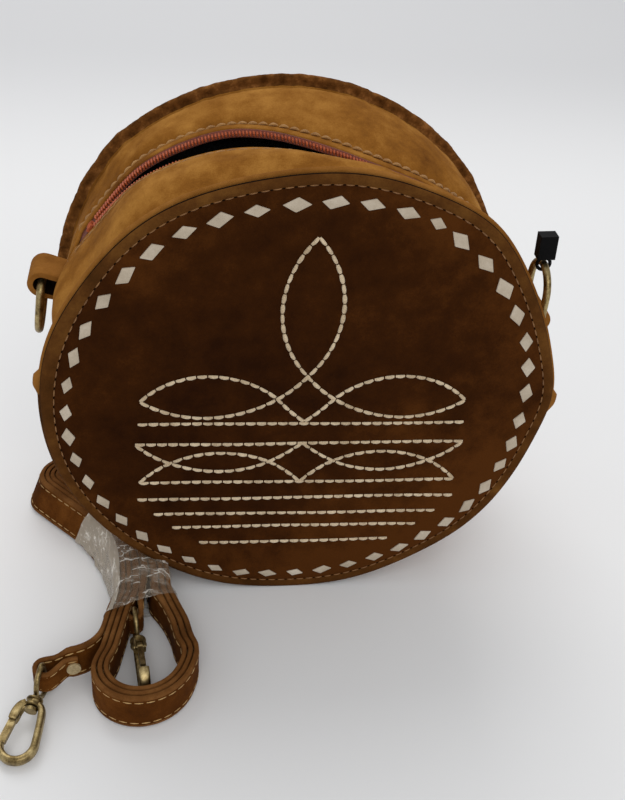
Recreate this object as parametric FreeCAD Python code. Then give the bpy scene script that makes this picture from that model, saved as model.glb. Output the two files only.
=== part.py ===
import FreeCAD, Part
import math
import os

os.makedirs("parts", exist_ok=True)
Vec = FreeCAD.Vector
right_angle = 90.0
half_turn = 180.0
full_turn = 360.0
mid_share = 0.5

# Bag body, mm. X to the right, Y to the back, Z up; origin on the table under the middle.
panel_radius = 108.0
base_cut = 1.0
half_depth = 50.5
panel_thick = 1.8
leather_thick = 1.6
flange_height = 5.0
stiffener_thick = 1.0
lining_thick = 0.6
lining_gap = 0.6
gusset_twist = -3.0
seam_angle = 6.0
lap_angle = 3.2
lap_rise = 2.0

# Zip in the top of the gusset: angles from the middle of the opening, lengths in mm.
zip_y = -1.0
slot_half_angle = 66.5
slot_half = 4.9
slot_bow = 5.0
teeth_half = 0.9
teeth_bow = 4.2
teeth_width = 3.0
teeth_core = 0.6
teeth_height = 1.9
teeth_pitch = 2.0
groove_share = 0.42
teeth_from_angle = -62.0
teeth_to_angle = 60.2
tape_thick = 0.6
tape_half = 16.0
tape_half_angle = 67.0
tape_setback = 0.3
stop_length_angle = 1.4
stop_gap_angle = 0.5
stop_rise = 0.3
slider_angle = 31.0
slider_length = 11.0
slider_width = 8.6
slider_plate = 1.0
slider_over = 0.5
slider_under = 0.5
neck_length = 3.6
neck_width = 2.2
bail_length = 6.0
bail_width = 2.2
bail_hole_length = 3.4
bail_hole_height = 1.5
bail_top = 0.7
pull_length = 16.0
pull_width = 7.0
pull_thick = 1.0
pull_window = 4.0
pull_window_half = 1.7
pull_bar_radius = 0.55

# Ring tabs, rings and the tag fastener on the right ring.
tab_width = 18.0
tab_thick = 2.0
tab_zip_angle = 7.0
tab_seam_angle = 2.2
tab_stem_half = 3.2
loop_rise = 11.0
loop_radius = 6.6
ring_wire_radius = 1.75
ring_fit = 0.6
ring_leg = 10.0
ring_side_gap = 1.1
ring_corner = 3.5
left_tab_angle = 162.5
right_tab_angle = 8.7
left_ring_angle = -97.0
right_ring_angle = 90.0
tag_loop_radius = 3.0
tag_loop_wire = 0.8
tag_length = 11.5
tag_width = 8.0
tag_depth = 6.0
tag_rise = 3.2
tag_lean_angle = 2.5

# Lacing, embroidery and sewing thread laid on the leather.
lacing_count = 45
lacing_inset = 11.0
lacing_half_length = 5.4
lacing_half_height = 3.3
lacing_thick = 0.6
thread_half = 0.65
thread_joint = 0.85
thread_thick = 0.5
pattern_radius = 108.0
embroidery_shift = 1.6
seam_thread_inset = 5.8
seam_thread_width = 0.9
zip_thread_inset = 4.6
zip_thread_width = 0.8
thread_arcs = (
    ((0.0, 79.5), (12.4, 48.5), (0.0, 15.3)),
    ((0.0, 15.3), (12.0, 4.0), (43.0, -5.7)),
    ((43.0, -5.7), (57.0, -3.2), (69.2, 3.0)),
    ((69.2, 3.0), (57.0, 12.0), (41.0, 15.6)),
    ((41.0, 15.6), (24.0, 12.0), (12.0, 4.0)),
    ((12.0, 4.0), (6.3, -2.4), (0.0, -8.0)),
    ((71.5, -19.4), (64.5, -25.6), (57.0, -29.7)),
    ((57.0, -29.7), (36.5, -34.5), (14.0, -29.3)),
    ((14.0, -29.3), (6.5, -24.6), (0.0, -19.4)),
    ((70.5, -40.7), (64.0, -34.3), (57.0, -29.7)),
    ((57.0, -29.7), (35.5, -24.3), (14.0, -29.3)),
    ((14.0, -29.3), (6.5, -34.5), (0.0, -40.7)),
)
thread_lines = (
    (70.5, -8.8), (71.8, -19.4), (70.5, -40.7), (71.5, -50.0), (64.5, -59.1), (56.4, -67.0), (44.2, -76.5),
)

# Shoulder strap, wound on edge into a hank on the table. Headings from +Y, left positive.
strap_width = 18.0
strap_thick = 2.0
strap_pitch = 2.5
strap_lift = 0.7
strap_end_width = 10.8
strap_loops = 4
hank_from_rim = 42.0
hank_ahead = 56.5
hank_heading = 8.0
coil_radius = 10.8
coil_neck = 43.0
coil_blend = 20.0
waist_radius = 116.0
waist_turn = 28.8
far_radius = 4.0
far_neck = 33.0
far_blend = 20.0
inner_bar_v = 29.6
inner_fold = 2.9
inner_tail = 5.0
inner_narrow = 4.0
leave_turn = 8.0
leave_radius = 7.0
outer_heading = 100.0
outer_leg = 12.5
outer_narrow = 5.5
outer_fold = 4.2
outer_converge = 40.0
outer_back_radius = 5.0
outer_tail = 3.2
film_thick = 0.4
film_gap = 0.3
rivet_radius = 1.3
rivet_head_radius = 3.0
rivet_head = 0.9
rivet_proud = 0.2
rivet_tail_share = 0.5
sample_step = 1.2
apart_thicks = 5.0

# Snap hooks: X along the hook from the bar in the strap's end to the bow.
eye_inside_half = 7.2
eye_wire_radius = 1.1
eye_corner = 1.6
post_radius = 1.5
post_head_radius = 2.6
post_head_from = 16.0
post_to = 17.4
collar_from = 11.4
collar_to = 15.4
collar_half = 3.6
swivel_fit = 0.3
hook_thick = 4.8
bow_x = 32.0
bow_outer = 8.5
bow_inner = 5.2
tip_angle = 80.0
shoulder = (16.5, 6.6)
lug_end = (23.0, 7.6)
lug_inside = (23.0, 4.0)
window_top = (18.0, 3.3)
window_half = 3.0
pivot = (20.5, 5.4)
gate_radius = 1.9
gate_half = 1.5
gate_thick = 2.2
gate_end = (32.3, 6.7)
gate_slot = 2.9
gate_slot_from = 18.0
gate_slot_inside = 1.5
pin_radius = 1.0
pin_fit = 0.3
pin_proud = 0.2
outer_hook_heading_angle = -105.0
outer_hook_dip_angle = 9.8
outer_hook_roll_angle = 180.0
inner_hook_roll_angle = 90.0

centre_z = panel_radius - base_cut
gusset_radius = panel_radius - flange_height
gusset_inside = gusset_radius - leather_thick
loop_centre_radius = gusset_radius + loop_rise
lacing_radius = panel_radius - lacing_inset
seam_thread_radius = panel_radius - seam_thread_inset
pattern_share = panel_radius / pattern_radius
panel_inside = half_depth - panel_thick
flange_inside = panel_inside - leather_thick
lining_top = gusset_inside - tape_thick
lining_inside = lining_top - lining_thick
zip_middle = right_angle + gusset_twist
seam_right = seam_angle + gusset_twist
seam_left = half_turn - seam_angle + gusset_twist
slot_x = gusset_inside * math.sin(math.radians(slot_half_angle))
axle = Vec(0, 0, centre_z)
turning = Vec(0, -1, 0)


def save(name, shape):
    shape.exportStep("parts/" + name + ".step")


def on_circle(radius, angle, y=0.0):
    a = math.radians(angle)
    return Vec(radius * math.cos(a), y, centre_z + radius * math.sin(a))


def line(a, b):
    return Part.LineSegment(a, b).toShape()


def arc(a, b, c):
    return Part.Arc(a, b, c).toShape()


def face_of(edges):
    return Part.Face(Part.Wire(Part.__sortEdges__(edges)))


def sector(r_in, r_out, a_from, a_to, y_from, y_to):
    middle = (a_from + a_to) / 2
    outer = [on_circle(r_out, a, y_from) for a in (a_from, middle, a_to)]
    inner = [on_circle(r_in, a, y_from) for a in (a_from, middle, a_to)]
    edges = [arc(*outer), line(outer[2], inner[2]), arc(*inner), line(inner[0], outer[0])]
    return face_of(edges).extrude(Vec(0, y_to - y_from, 0))


def disc(radius, y_from, y_to):
    return Part.makeCylinder(radius, y_to - y_from, Vec(0, y_from, centre_z), Vec(0, 1, 0))


def box(x0, x1, y0, y1, z0, z1):
    return Part.makeBox(x1 - x0, y1 - y0, z1 - z0, Vec(x0, y0, z0))


def stand_flat(shape):
    wide = 2 * panel_radius
    return shape.cut(box(-wide, wide, -wide, wide, -wide, 0))


def around(shape, angle):
    turned = shape.copy()
    turned.rotate(axle, turning, angle)
    return turned


def mirror_y(shape):
    return shape.mirror(Vec(0, 0, 0), Vec(0, 1, 0))


def lens(half, bow):
    ends = [Vec(-slot_x, zip_y + half, centre_z), Vec(slot_x, zip_y + half, centre_z)]
    front = [Vec(-slot_x, zip_y - half, centre_z), Vec(slot_x, zip_y - half, centre_z)]
    edges = [
        arc(ends[0], Vec(0, zip_y + half + bow, centre_z), ends[1]),
        line(ends[1], front[1]),
        arc(front[1], Vec(0, zip_y - half - bow, centre_z), front[0]),
        line(front[0], ends[0]),
    ]
    return around(face_of(edges).extrude(Vec(0, 0, panel_radius)), gusset_twist)


def zip_side(side, reach):
    return (zip_y, zip_y + reach) if side > 0 else (zip_y - reach, zip_y)


def zip_row(side, r_in, r_out, a_from, a_to, inside, width, bow):
    reach = inside + width + 2 * bow
    band = sector(r_in, r_out, zip_middle + a_from, zip_middle + a_to, *zip_side(side, reach))
    return band.common(lens(inside + width, bow)).cut(lens(inside, bow))


# Round panels with their stiffeners and linings
panel = stand_flat(disc(panel_radius, -half_depth, -panel_inside))
stiffener = disc(lining_inside - lining_gap, -panel_inside, -panel_inside + stiffener_thick)
lining_from = -panel_inside + stiffener_thick
lining = disc(lining_inside - lining_gap, lining_from, lining_from + lining_thick)
for side_name, shapes in (
    ("front", (panel, stiffener, lining)),
    ("back", tuple(mirror_y(s) for s in (panel, stiffener, lining))),
):
    for piece, shape in zip(("panel", "stiffener", "lining"), shapes):
        save(side_name + "_" + piece, shape)

# Lower gusset with out-turned flanges, lapped over the ends of the upper gusset
low_from = seam_left
low_to = full_turn + seam_right
low_band = sector(gusset_inside, gusset_radius, low_from, low_to, -flange_inside, flange_inside)
low_flange = sector(gusset_inside, panel_radius, low_from, low_to, -panel_inside, -flange_inside)
laps = []
for seam, inward in ((low_from, lap_angle), (low_to, -lap_angle)):
    lap_from = seam - lap_angle
    lap_to = seam + lap_angle
    lap_top = gusset_radius + leather_thick
    laps.append(sector(gusset_radius, lap_top, lap_from, lap_to, -flange_inside, flange_inside))
    bump = sorted((seam, seam + inward))
    bump_flange = sector(gusset_radius, panel_radius + lap_rise, *bump, -panel_inside, -flange_inside)
    laps.extend((bump_flange, mirror_y(bump_flange)))
lower_gusset = low_band.multiFuse([low_flange, mirror_y(low_flange)] + laps).removeSplitter()
save("lower_gusset", stand_flat(lower_gusset))
save("lower_lining", sector(lining_top, gusset_inside, low_from, low_to, -flange_inside, flange_inside))

# Upper gusset halves, their linings, zip tapes, teeth and thread
slot = lens(slot_half, slot_bow)
tape_slot = lens(teeth_half + tape_setback, teeth_bow)
up_flange = sector(gusset_inside, panel_radius, seam_right, seam_left, -panel_inside, -flange_inside)
teeth_step = math.degrees(teeth_pitch / gusset_radius)
teeth_count = int((teeth_to_angle - teeth_from_angle) / teeth_step)
teeth_root = gusset_inside + teeth_core
teeth_tip = gusset_inside + teeth_height
groove_half = teeth_pitch * groove_share / 2
teeth_reach = teeth_half + teeth_width + 2 * teeth_bow
groove = box(
    -groove_half, groove_half, zip_y - teeth_reach, zip_y + teeth_reach,
    centre_z + teeth_root, centre_z + teeth_tip + teeth_core,
)
grooves = [around(groove, teeth_from_angle + gusset_twist + (i + 1) * teeth_step) for i in range(teeth_count)]
for side, name, flange in ((-1, "front", up_flange), (1, "back", mirror_y(up_flange))):
    y_range = (-flange_inside, zip_y) if side < 0 else (zip_y, flange_inside)
    strip = sector(gusset_inside, gusset_radius, seam_right, seam_left, *y_range).cut(slot)
    save("upper_gusset_" + name, strip.fuse(flange).removeSplitter())
    y_lining = (-flange_inside, zip_y - tape_half / 2) if side < 0 else (zip_y + tape_half / 2, flange_inside)
    lined = sector(lining_inside, lining_top, seam_right, seam_left, *y_lining).cut(slot)
    save("upper_lining_" + name, lined)
    tape_from = zip_middle - tape_half_angle
    tape_to = zip_middle + tape_half_angle
    tape = sector(lining_top, gusset_inside, tape_from, tape_to, *zip_side(side, tape_half))
    save("zip_tape_" + name, tape.cut(tape_slot))
    row = zip_row(
        side, gusset_inside, teeth_tip, teeth_from_angle, teeth_to_angle, teeth_half, teeth_width, teeth_bow
    )
    save("zip_teeth_" + name, row.cut(grooves))
    thread_top = gusset_radius + thread_thick
    sewn = zip_row(
        side, gusset_radius, thread_top, -slot_half_angle, slot_half_angle,
        slot_half + zip_thread_inset, zip_thread_width, slot_bow,
    )
    save("zip_thread_" + name, sewn)

# Zip stops: one block across both rows at the right end, one clip on each row at the left end
stop_top = teeth_tip + stop_rise
stop_to = zip_middle + teeth_from_angle - stop_gap_angle
stop_y = teeth_half + teeth_width
bottom_stop = sector(
    gusset_inside, stop_top, stop_to - stop_length_angle, stop_to, zip_y - stop_y, zip_y + stop_y
)
save("zip_bottom_stop", bottom_stop)
clip_from = teeth_to_angle + stop_gap_angle
clips = [
    zip_row(
        side, gusset_inside, stop_top, clip_from, clip_from + stop_length_angle,
        teeth_half, teeth_width, teeth_bow,
    )
    for side in (-1, 1)
]
save("zip_top_stops", Part.makeCompound(clips))

# Slider and pull, made at the top of the bag and turned to where the slider stands
plate_under = centre_z + teeth_tip + slider_over
plate_top = plate_under + slider_plate
keel_top = centre_z + lining_top - slider_under
keel_under = keel_top - slider_plate
half_long = slider_length / 2
half_wide = slider_width / 2
top_plate = box(-half_long, half_long, zip_y - half_wide, zip_y + half_wide, plate_under, plate_top)
keel = box(-half_long, half_long, zip_y - half_wide, zip_y + half_wide, keel_under, keel_top)
neck_x = neck_length / 2
neck_y = neck_width / 2
neck = box(-neck_x, neck_x, zip_y - neck_y, zip_y + neck_y, keel_top, plate_under)
bail_x = bail_length / 2
bail_y = bail_width / 2
hole_x = bail_hole_length / 2
bail_roof = plate_top + bail_hole_height
bail = box(-bail_x, bail_x, zip_y - bail_y, zip_y + bail_y, plate_top, bail_roof + bail_top)
bail = bail.cut(box(-hole_x, hole_x, zip_y - bail_y, zip_y + bail_y, plate_top, bail_roof))
slider = top_plate.multiFuse([keel, neck, bail]).removeSplitter()
save("zip_slider", around(slider, slider_angle - right_angle))
pull_z = plate_top + bail_hole_height / 2
pull_y = pull_width / 2
pull_half = pull_thick / 2
sheet = box(
    -pull_bar_radius, pull_length, zip_y - pull_y, zip_y + pull_y, pull_z - pull_half, pull_z + pull_half
)
window = box(
    -pull_bar_radius, pull_window, zip_y - pull_window_half, zip_y + pull_window_half,
    pull_z - pull_half, pull_z + pull_half,
)
pull_bar = Part.makeCylinder(pull_bar_radius, pull_width, Vec(0, zip_y - pull_y, pull_z), Vec(0, 1, 0))
save("zip_pull", around(sheet.cut(window).fuse(pull_bar).removeSplitter(), slider_angle - right_angle))

# Ring tabs and rings
tab_half = tab_width / 2
loop_hole = ring_wire_radius + ring_fit
patch = sector(gusset_radius, gusset_radius + tab_thick, -tab_seam_angle, tab_zip_angle, -tab_half, tab_half)
stem = box(
    gusset_radius, loop_centre_radius, -tab_half, tab_half, centre_z - tab_stem_half, centre_z + tab_stem_half
)
loop_at = Vec(loop_centre_radius, -tab_half, centre_z)
loop = Part.makeCylinder(loop_radius, tab_width, loop_at, Vec(0, 1, 0))
hole = Part.makeCylinder(loop_hole, tab_width, loop_at, Vec(0, 1, 0))
tab = patch.multiFuse([stem, loop]).cut(hole).removeSplitter()
save("left_tab", around(tab.mirror(axle, Vec(1, 0, 0)), left_tab_angle - half_turn))
save("right_tab", around(tab, right_tab_angle))


def pipe(edges, at, along, radius):
    profile = Part.Wire(Part.makeCircle(radius, at, along))
    return Part.Wire(edges).makePipeShell([profile], True, False)


def bent_loop(half, corner, leg, radius, cross):
    # A closed loop of wire: straight bar at the origin along `cross`, legs along X, round far end.
    def at(x, s):
        return Vec(x, 0, 0) + cross * s
    bend = corner * (1 - math.sqrt(mid_share))
    edges = [
        line(at(0, corner - half), at(0, half - corner)),
        arc(at(0, half - corner), at(bend, half - bend), at(corner, half)),
    ]
    if leg > 0:
        edges.append(line(at(corner, half), at(corner + leg, half)))
    edges.append(arc(at(corner + leg, half), at(corner + leg + half, 0), at(corner + leg, -half)))
    if leg > 0:
        edges.append(line(at(corner + leg, -half), at(corner, -half)))
    edges.append(arc(at(corner, -half), at(bend, bend - half), at(0, corner - half)))
    return pipe(edges, at(0, corner - half), cross, radius)


ring_half = tab_half + ring_side_gap + ring_wire_radius
ring = bent_loop(ring_half, ring_corner, ring_leg, ring_wire_radius, Vec(0, 1, 0))
for name, tab_angle, ring_angle in (
    ("left_ring", left_tab_angle, left_ring_angle), ("right_ring", right_tab_angle, right_ring_angle),
):
    hung = ring.copy()
    hung.rotate(Vec(0, 0, 0), turning, ring_angle)
    hung.translate(on_circle(loop_centre_radius, tab_angle))
    save(name, hung)

# Tag fastener: a loop round the top of the right ring with a block above it
tag_loop = Part.makeTorus(tag_loop_radius, tag_loop_wire, Vec(0, 0, 0), Vec(0, 1, 0))
tag_x = tag_width / 2
tag_y = tag_depth / 2
tag = tag_loop.fuse(box(-tag_x, tag_x, -tag_y, tag_y, tag_rise, tag_rise + tag_length)).removeSplitter()
tag.rotate(Vec(0, 0, 0), turning, tag_lean_angle)
ring_reach = ring_corner + ring_leg + ring_half
ring_turn = math.radians(right_ring_angle)
tag.translate(
    on_circle(loop_centre_radius, right_tab_angle)
    + Vec(ring_reach * math.cos(ring_turn), 0, ring_reach * math.sin(ring_turn))
)
save("tag_fastener", tag)

# Laced border and thread on the front panel
lozenges = []
lozenge_points = [
    Vec(0, -half_depth, centre_z + lacing_radius + up) + Vec(along, 0, 0)
    for along, up in (
        (-lacing_half_length, 0), (0, lacing_half_height), (lacing_half_length, 0), (0, -lacing_half_height),
    )
]
lozenge_edges = [line(a, b) for a, b in zip(lozenge_points, lozenge_points[1:] + lozenge_points[:1])]
lozenge = face_of(lozenge_edges).extrude(Vec(0, -lacing_thick, 0))
for i in range(lacing_count):
    lozenges.append(around(lozenge, i * full_turn / lacing_count))
save("border_lacing", Part.makeCompound(lozenges))

thread_up = Vec(0, -thread_thick, 0)


def on_front(x, z):
    return Vec((x + embroidery_shift) * pattern_share, -half_depth, centre_z + z * pattern_share)


def thread_arc(points):
    a, b, c = [on_front(*p) for p in points]
    curve = arc(a, b, c).Curve
    centre = curve.Center
    rows = []
    for offset in (thread_half, -thread_half):
        rows.append([centre + (p - centre) * ((curve.Radius + offset) / curve.Radius) for p in (a, b, c)])
    out, back = rows
    edges = [arc(*out), line(out[2], back[2]), arc(*back), line(back[0], out[0])]
    return face_of(edges).extrude(thread_up)


def thread_dot(x, z):
    return Part.makeCylinder(thread_joint, thread_thick, on_front(x, z), Vec(0, -1, 0))


stitched = []
for points in thread_arcs:
    for sign in (1, -1):
        mirrored = [(sign * x, z) for x, z in points]
        stitched.append(thread_arc(mirrored))
        stitched.extend(thread_dot(*p) for p in (mirrored[0], mirrored[2]))
for half, z in thread_lines:
    left, right = on_front(-half, z), on_front(half, z)
    stitched.append(
        box(
            left.x, right.x, -half_depth - thread_thick, -half_depth,
            left.z - thread_half, left.z + thread_half,
        )
    )
save("front_embroidery", stitched[0].multiFuse(stitched[1:]).removeSplitter())
seam_out = seam_thread_radius + seam_thread_width
seam_thread = disc(seam_out, -half_depth - thread_thick, -half_depth).cut(
    disc(seam_thread_radius, -half_depth - thread_thick, -half_depth)
)
save("front_seam_thread", seam_thread)
save("back_seam_thread", mirror_y(seam_thread))


# Shoulder strap: a band on edge that follows lines and arcs laid end to end
def heading_vec(heading):
    a = math.radians(heading)
    return Vec(-math.sin(a), math.cos(a), 0)


def right_vec(heading):
    a = math.radians(heading)
    return Vec(math.cos(a), math.sin(a), 0)


class Band:
    def __init__(self, point, heading):
        self.point = point
        self.heading = heading
        self.track = [point]
        self.begin()

    def begin(self):
        self.first = (self.point, self.heading)
        self.sides = {1: [], -1: []}

    def go(self, length):
        ahead = self.point + heading_vec(self.heading) * length
        for side in self.sides:
            out = right_vec(self.heading) * (side * strap_thick / 2)
            self.sides[side].append(line(self.point + out, ahead + out))
        self.note([self.point + (ahead - self.point) * t for t in self.shares(length)])
        self.point = ahead

    def bend(self, radius, turn):
        hand = -1 if turn > 0 else 1
        centre = self.point + right_vec(self.heading) * (hand * radius)
        for side in self.sides:
            reach = radius - hand * side * strap_thick / 2
            marks = [centre - right_vec(self.heading + t * turn) * (hand * reach) for t in (0, mid_share, 1)]
            self.sides[side].append(arc(*marks))
        shares = self.shares(radius * math.radians(abs(turn)))
        self.note([centre - right_vec(self.heading + t * turn) * (hand * radius) for t in shares])
        self.heading += turn
        self.point = self.track[-1]

    def shares(self, length):
        steps = max(1, math.ceil(length / sample_step))
        return [(i + 1) / steps for i in range(steps)]

    def note(self, points):
        self.track.extend(points)

    def solid(self, width):
        caps = []
        for point, heading in (self.first, (self.point, self.heading)):
            out = right_vec(heading) * (strap_thick / 2)
            caps.append(line(point + out, point - out))
        face = face_of(self.sides[1] + self.sides[-1] + caps)
        made = face.extrude(Vec(0, 0, width))
        made.translate(Vec(0, 0, strap_lift + (strap_width - width) / 2))
        self.begin()
        return made


def taper(radius, neck, blend):
    # Lean of the straight side between a round end and the neck, and that side's length.
    lean = math.atan2(neck, blend) - math.acos((radius + blend) / math.hypot(neck, blend))
    side = (neck - blend * math.sin(lean) - radius * math.sin(lean)) / math.cos(lean)
    return math.degrees(lean), side


hank = Vec(hank_from_rim - panel_radius, -half_depth - hank_ahead, 0)
lean, side_length = taper(coil_radius, coil_neck, coil_blend)
far_lean, far_side = taper(far_radius, far_neck, far_blend)
lean_sin = math.sin(math.radians(lean))
lean_cos = math.cos(math.radians(lean))
first_offset = strap_pitch / 2
inner_bar_u = (inner_bar_v * lean_sin - coil_radius - first_offset + inner_fold) / lean_cos
across = right_vec(hank_heading)
along = heading_vec(hank_heading)
inner_bar = hank + across * inner_bar_u + along * inner_bar_v
tail_heading = hank_heading + lean
tail_end = inner_bar + right_vec(tail_heading) * inner_fold + heading_vec(tail_heading) * inner_tail
band = Band(tail_end, hank_heading + half_turn + lean)
band.go(inner_tail)
band.bend(inner_fold, -half_turn - 2 * lean)
leg_done = inner_bar_u * lean_sin + inner_bar_v * lean_cos
leg_end = (coil_neck - coil_blend * lean_sin) * lean_cos - coil_blend * (1 - lean_cos) * lean_sin
band.go(inner_narrow)
inner_end = band.solid(strap_end_width)
band.go(leg_end - leg_done - inner_narrow)
for i in range(strap_loops):
    offset = strap_pitch * (i + mid_share)
    if i > 0:
        band.bend(coil_radius + offset, -lean)
        band.go(side_length)
    band.bend(coil_blend - offset, lean)
    band.bend(waist_radius - offset, waist_turn)
    band.bend(far_blend - offset, far_lean)
    band.go(far_side)
    band.bend(far_radius + offset, -half_turn - 2 * far_lean)
    band.go(far_side)
    band.bend(far_blend - offset, far_lean)
    band.bend(waist_radius + offset, -waist_turn)
    band.bend(coil_blend - offset, lean)
    band.go(side_length)
    band.bend(coil_radius + offset, -lean)
    band.bend(coil_radius + offset + strap_pitch / 2, -half_turn)
last_offset = strap_pitch * (strap_loops + mid_share)
band.heading -= full_turn * round((band.heading - hank_heading) / full_turn)
band.bend(coil_radius + last_offset, -leave_turn)
band.bend(leave_radius, outer_heading - band.heading)
band.go(outer_leg - outer_narrow)
main_run = band.solid(strap_width)
band.go(outer_narrow)
outer_bar = band.point - right_vec(band.heading) * outer_fold
band.bend(outer_fold, half_turn + outer_converge)
converge = math.radians(outer_converge)
drop = outer_fold * (1 + math.cos(converge)) - strap_pitch - outer_back_radius * (1 - math.cos(converge))
band.go(drop / math.sin(converge))
band.bend(outer_back_radius, -outer_converge)
rivet_at = band.point + heading_vec(band.heading) * (outer_tail * rivet_tail_share)
rivet_along = right_vec(band.heading)
band.go(outer_tail)
outer_end = band.solid(strap_end_width)
strap = inner_end.multiFuse([main_run, outer_end]).removeSplitter()

track = band.track
lengths = [0.0]
for a, b in zip(track, track[1:]):
    lengths.append(lengths[-1] + a.distanceToPoint(b))
least = min(
    a.distanceToPoint(b)
    for i, a in enumerate(track)
    for j, b in enumerate(track[:i])
    if lengths[i] - lengths[j] > apart_thicks * strap_thick
)
print("strap length", round(lengths[-1], 1), "least self-gap", round(least - strap_thick, 2))

# Rivets through the two folded ends
strap_middle = strap_lift + strap_width / 2


def rivet(at, along, reach_back, reach_on, head):
    base = Vec(at.x, at.y, strap_middle) - along * reach_back
    shank = Part.makeCylinder(rivet_radius, reach_back + reach_on, base, along)
    caps = [
        Part.makeCylinder(rivet_head_radius, head, base, along * -1),
        Part.makeCylinder(rivet_head_radius, head, base + along * (reach_back + reach_on), along),
    ]
    return shank.multiFuse(caps).removeSplitter() if head > 0 else shank


half_thick = strap_thick / 2
outer_rivet = rivet(rivet_at, rivet_along * -1, half_thick, strap_pitch + half_thick, rivet_head)
inner_rivet_at = inner_bar + along * (inner_fold + inner_narrow * rivet_tail_share)
inner_reach = inner_fold + rivet_proud
inner_rivet = rivet(inner_rivet_at, across, inner_reach, inner_reach, 0)
save("strap", strap.cut(outer_rivet).cut(inner_rivet))
save("outer_rivet", outer_rivet)
save("inner_rivet", inner_rivet)

# Film wound round the waist of the hank
waist_at = hank + along * coil_neck
waist_centre = waist_at - across * waist_radius
film_half = strap_pitch * strap_loops - (strap_pitch - strap_thick) / 2 + film_gap


def waist_prism(half, z_from, z_to):
    turns = [hank_heading + waist_turn * t for t in (0, mid_share, 1)]
    out = [waist_centre + right_vec(t) * (waist_radius + half) for t in turns]
    back = [waist_centre + right_vec(t) * (waist_radius - half) for t in turns]
    edges = [arc(*out), line(out[2], back[2]), arc(*back), line(back[0], out[0])]
    made = face_of(edges).extrude(Vec(0, 0, z_to - z_from))
    made.translate(Vec(0, 0, z_from))
    return made


film_inside_top = strap_lift + strap_width + film_gap
film = waist_prism(film_half + film_thick, 0, film_inside_top + film_thick)
save("film_wrap", film.cut(waist_prism(film_half, strap_lift - film_gap, film_inside_top)))


# Snap hooks, made along X from the bar and then set in the strap's ends
def flat_polygon(points, half):
    corners = [Vec(x, y, -half) for x, y in points]
    edges = [line(a, b) for a, b in zip(corners, corners[1:] + corners[:1])]
    return face_of(edges).extrude(Vec(0, 0, 2 * half))


eye_half = eye_inside_half + eye_wire_radius
eye_loop = bent_loop(eye_half, eye_corner, 0.0, eye_wire_radius, Vec(0, 0, 1))
post_from = eye_corner + eye_half
post = Part.makeCylinder(post_radius, post_to - post_from, Vec(post_from, 0, 0), Vec(1, 0, 0))
head_long = post_to - post_head_from
post_head = Part.makeCylinder(post_head_radius, head_long, Vec(post_head_from, 0, 0), Vec(1, 0, 0))
eye = eye_loop.multiFuse([post, post_head]).removeSplitter()

hook_half = hook_thick / 2
tip = math.radians(tip_angle)
tip_out = (bow_x + bow_outer * math.cos(tip), bow_outer * math.sin(tip))
tip_in = (bow_x + bow_inner * math.cos(tip), bow_inner * math.sin(tip))
right_run = [
    (bow_x, -bow_inner), (window_top[0], -window_top[1]), (collar_to, -window_half), (collar_to, window_half),
    window_top, lug_inside, lug_end, shoulder, (collar_from, collar_half), (collar_from, -collar_half),
    (shoulder[0], -shoulder[1]), (bow_x, -bow_outer),
]


def low(point):
    return Vec(point[0], point[1], -hook_half)


hook_edges = [line(low(a), low(b)) for a, b in zip(right_run, right_run[1:])]
hook_edges.append(arc(low((bow_x, -bow_outer)), low((bow_x + bow_outer, 0)), low(tip_out)))
hook_edges.append(line(low(tip_out), low(tip_in)))
hook_edges.append(arc(low(tip_in), low((bow_x + bow_inner, 0)), low((bow_x, -bow_inner))))
hook = face_of(hook_edges).extrude(Vec(0, 0, hook_thick))
collar_long = collar_to - collar_from
collar = Part.makeCylinder(collar_half, collar_long, Vec(collar_from, 0, 0), Vec(1, 0, 0))
swivel_hole = Part.makeCylinder(post_radius + swivel_fit, collar_long, Vec(collar_from, 0, 0), Vec(1, 0, 0))
slot_half_z = gate_slot / 2
slot_box = box(gate_slot_from, bow_x, gate_slot_inside, bow_outer, -slot_half_z, slot_half_z)
tip_keep = Part.makeCylinder(bow_outer, hook_thick, Vec(bow_x, 0, -hook_half))
slot_box = slot_box.cut(tip_keep)
pin_at = Vec(pivot[0], pivot[1], -hook_half - pin_proud)
pin = Part.makeCylinder(pin_radius, hook_thick + 2 * pin_proud, pin_at)
hook = hook.fuse(collar).cut(swivel_hole).cut(slot_box).cut(pin).removeSplitter()

gate_half_z = gate_thick / 2
gate_long = math.hypot(gate_end[0] - pivot[0], gate_end[1] - pivot[1])
gate_turn = math.degrees(math.atan2(gate_end[1] - pivot[1], gate_end[0] - pivot[0]))
gate_bar = box(0, gate_long, -gate_half, gate_half, -gate_half_z, gate_half_z)
gate_knuckle = Part.makeCylinder(gate_radius, gate_thick, Vec(0, 0, -gate_half_z))
gate_hole = Part.makeCylinder(pin_radius + pin_fit, gate_thick, Vec(0, 0, -gate_half_z))
gate = gate_bar.fuse(gate_knuckle).cut(gate_hole).removeSplitter()
gate.rotate(Vec(0, 0, 0), Vec(0, 0, 1), gate_turn)
gate.translate(Vec(pivot[0], pivot[1], 0))

for name, bar, heading, pitch, roll in (
    ("outer", outer_bar, outer_hook_heading_angle, outer_hook_dip_angle, outer_hook_roll_angle),
    ("inner", inner_bar, hank_heading - right_angle, 0.0, inner_hook_roll_angle),
):
    place = Vec(bar.x, bar.y, strap_middle)
    for piece, shape, spin in (
        ("eye", eye, 0.0), ("hook", hook, roll), ("gate", gate, roll), ("gate_pin", pin, roll),
    ):
        put = shape.copy()
        put.Placement = FreeCAD.Placement(place, FreeCAD.Rotation(heading, pitch, spin)).multiply(put.Placement)
        save(name + "_" + piece, put)
print("inner bar", inner_bar, "outer bar", outer_bar)
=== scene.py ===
import math
import random

import bmesh
import bpy
from mathutils import Matrix, Vector, noise


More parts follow.
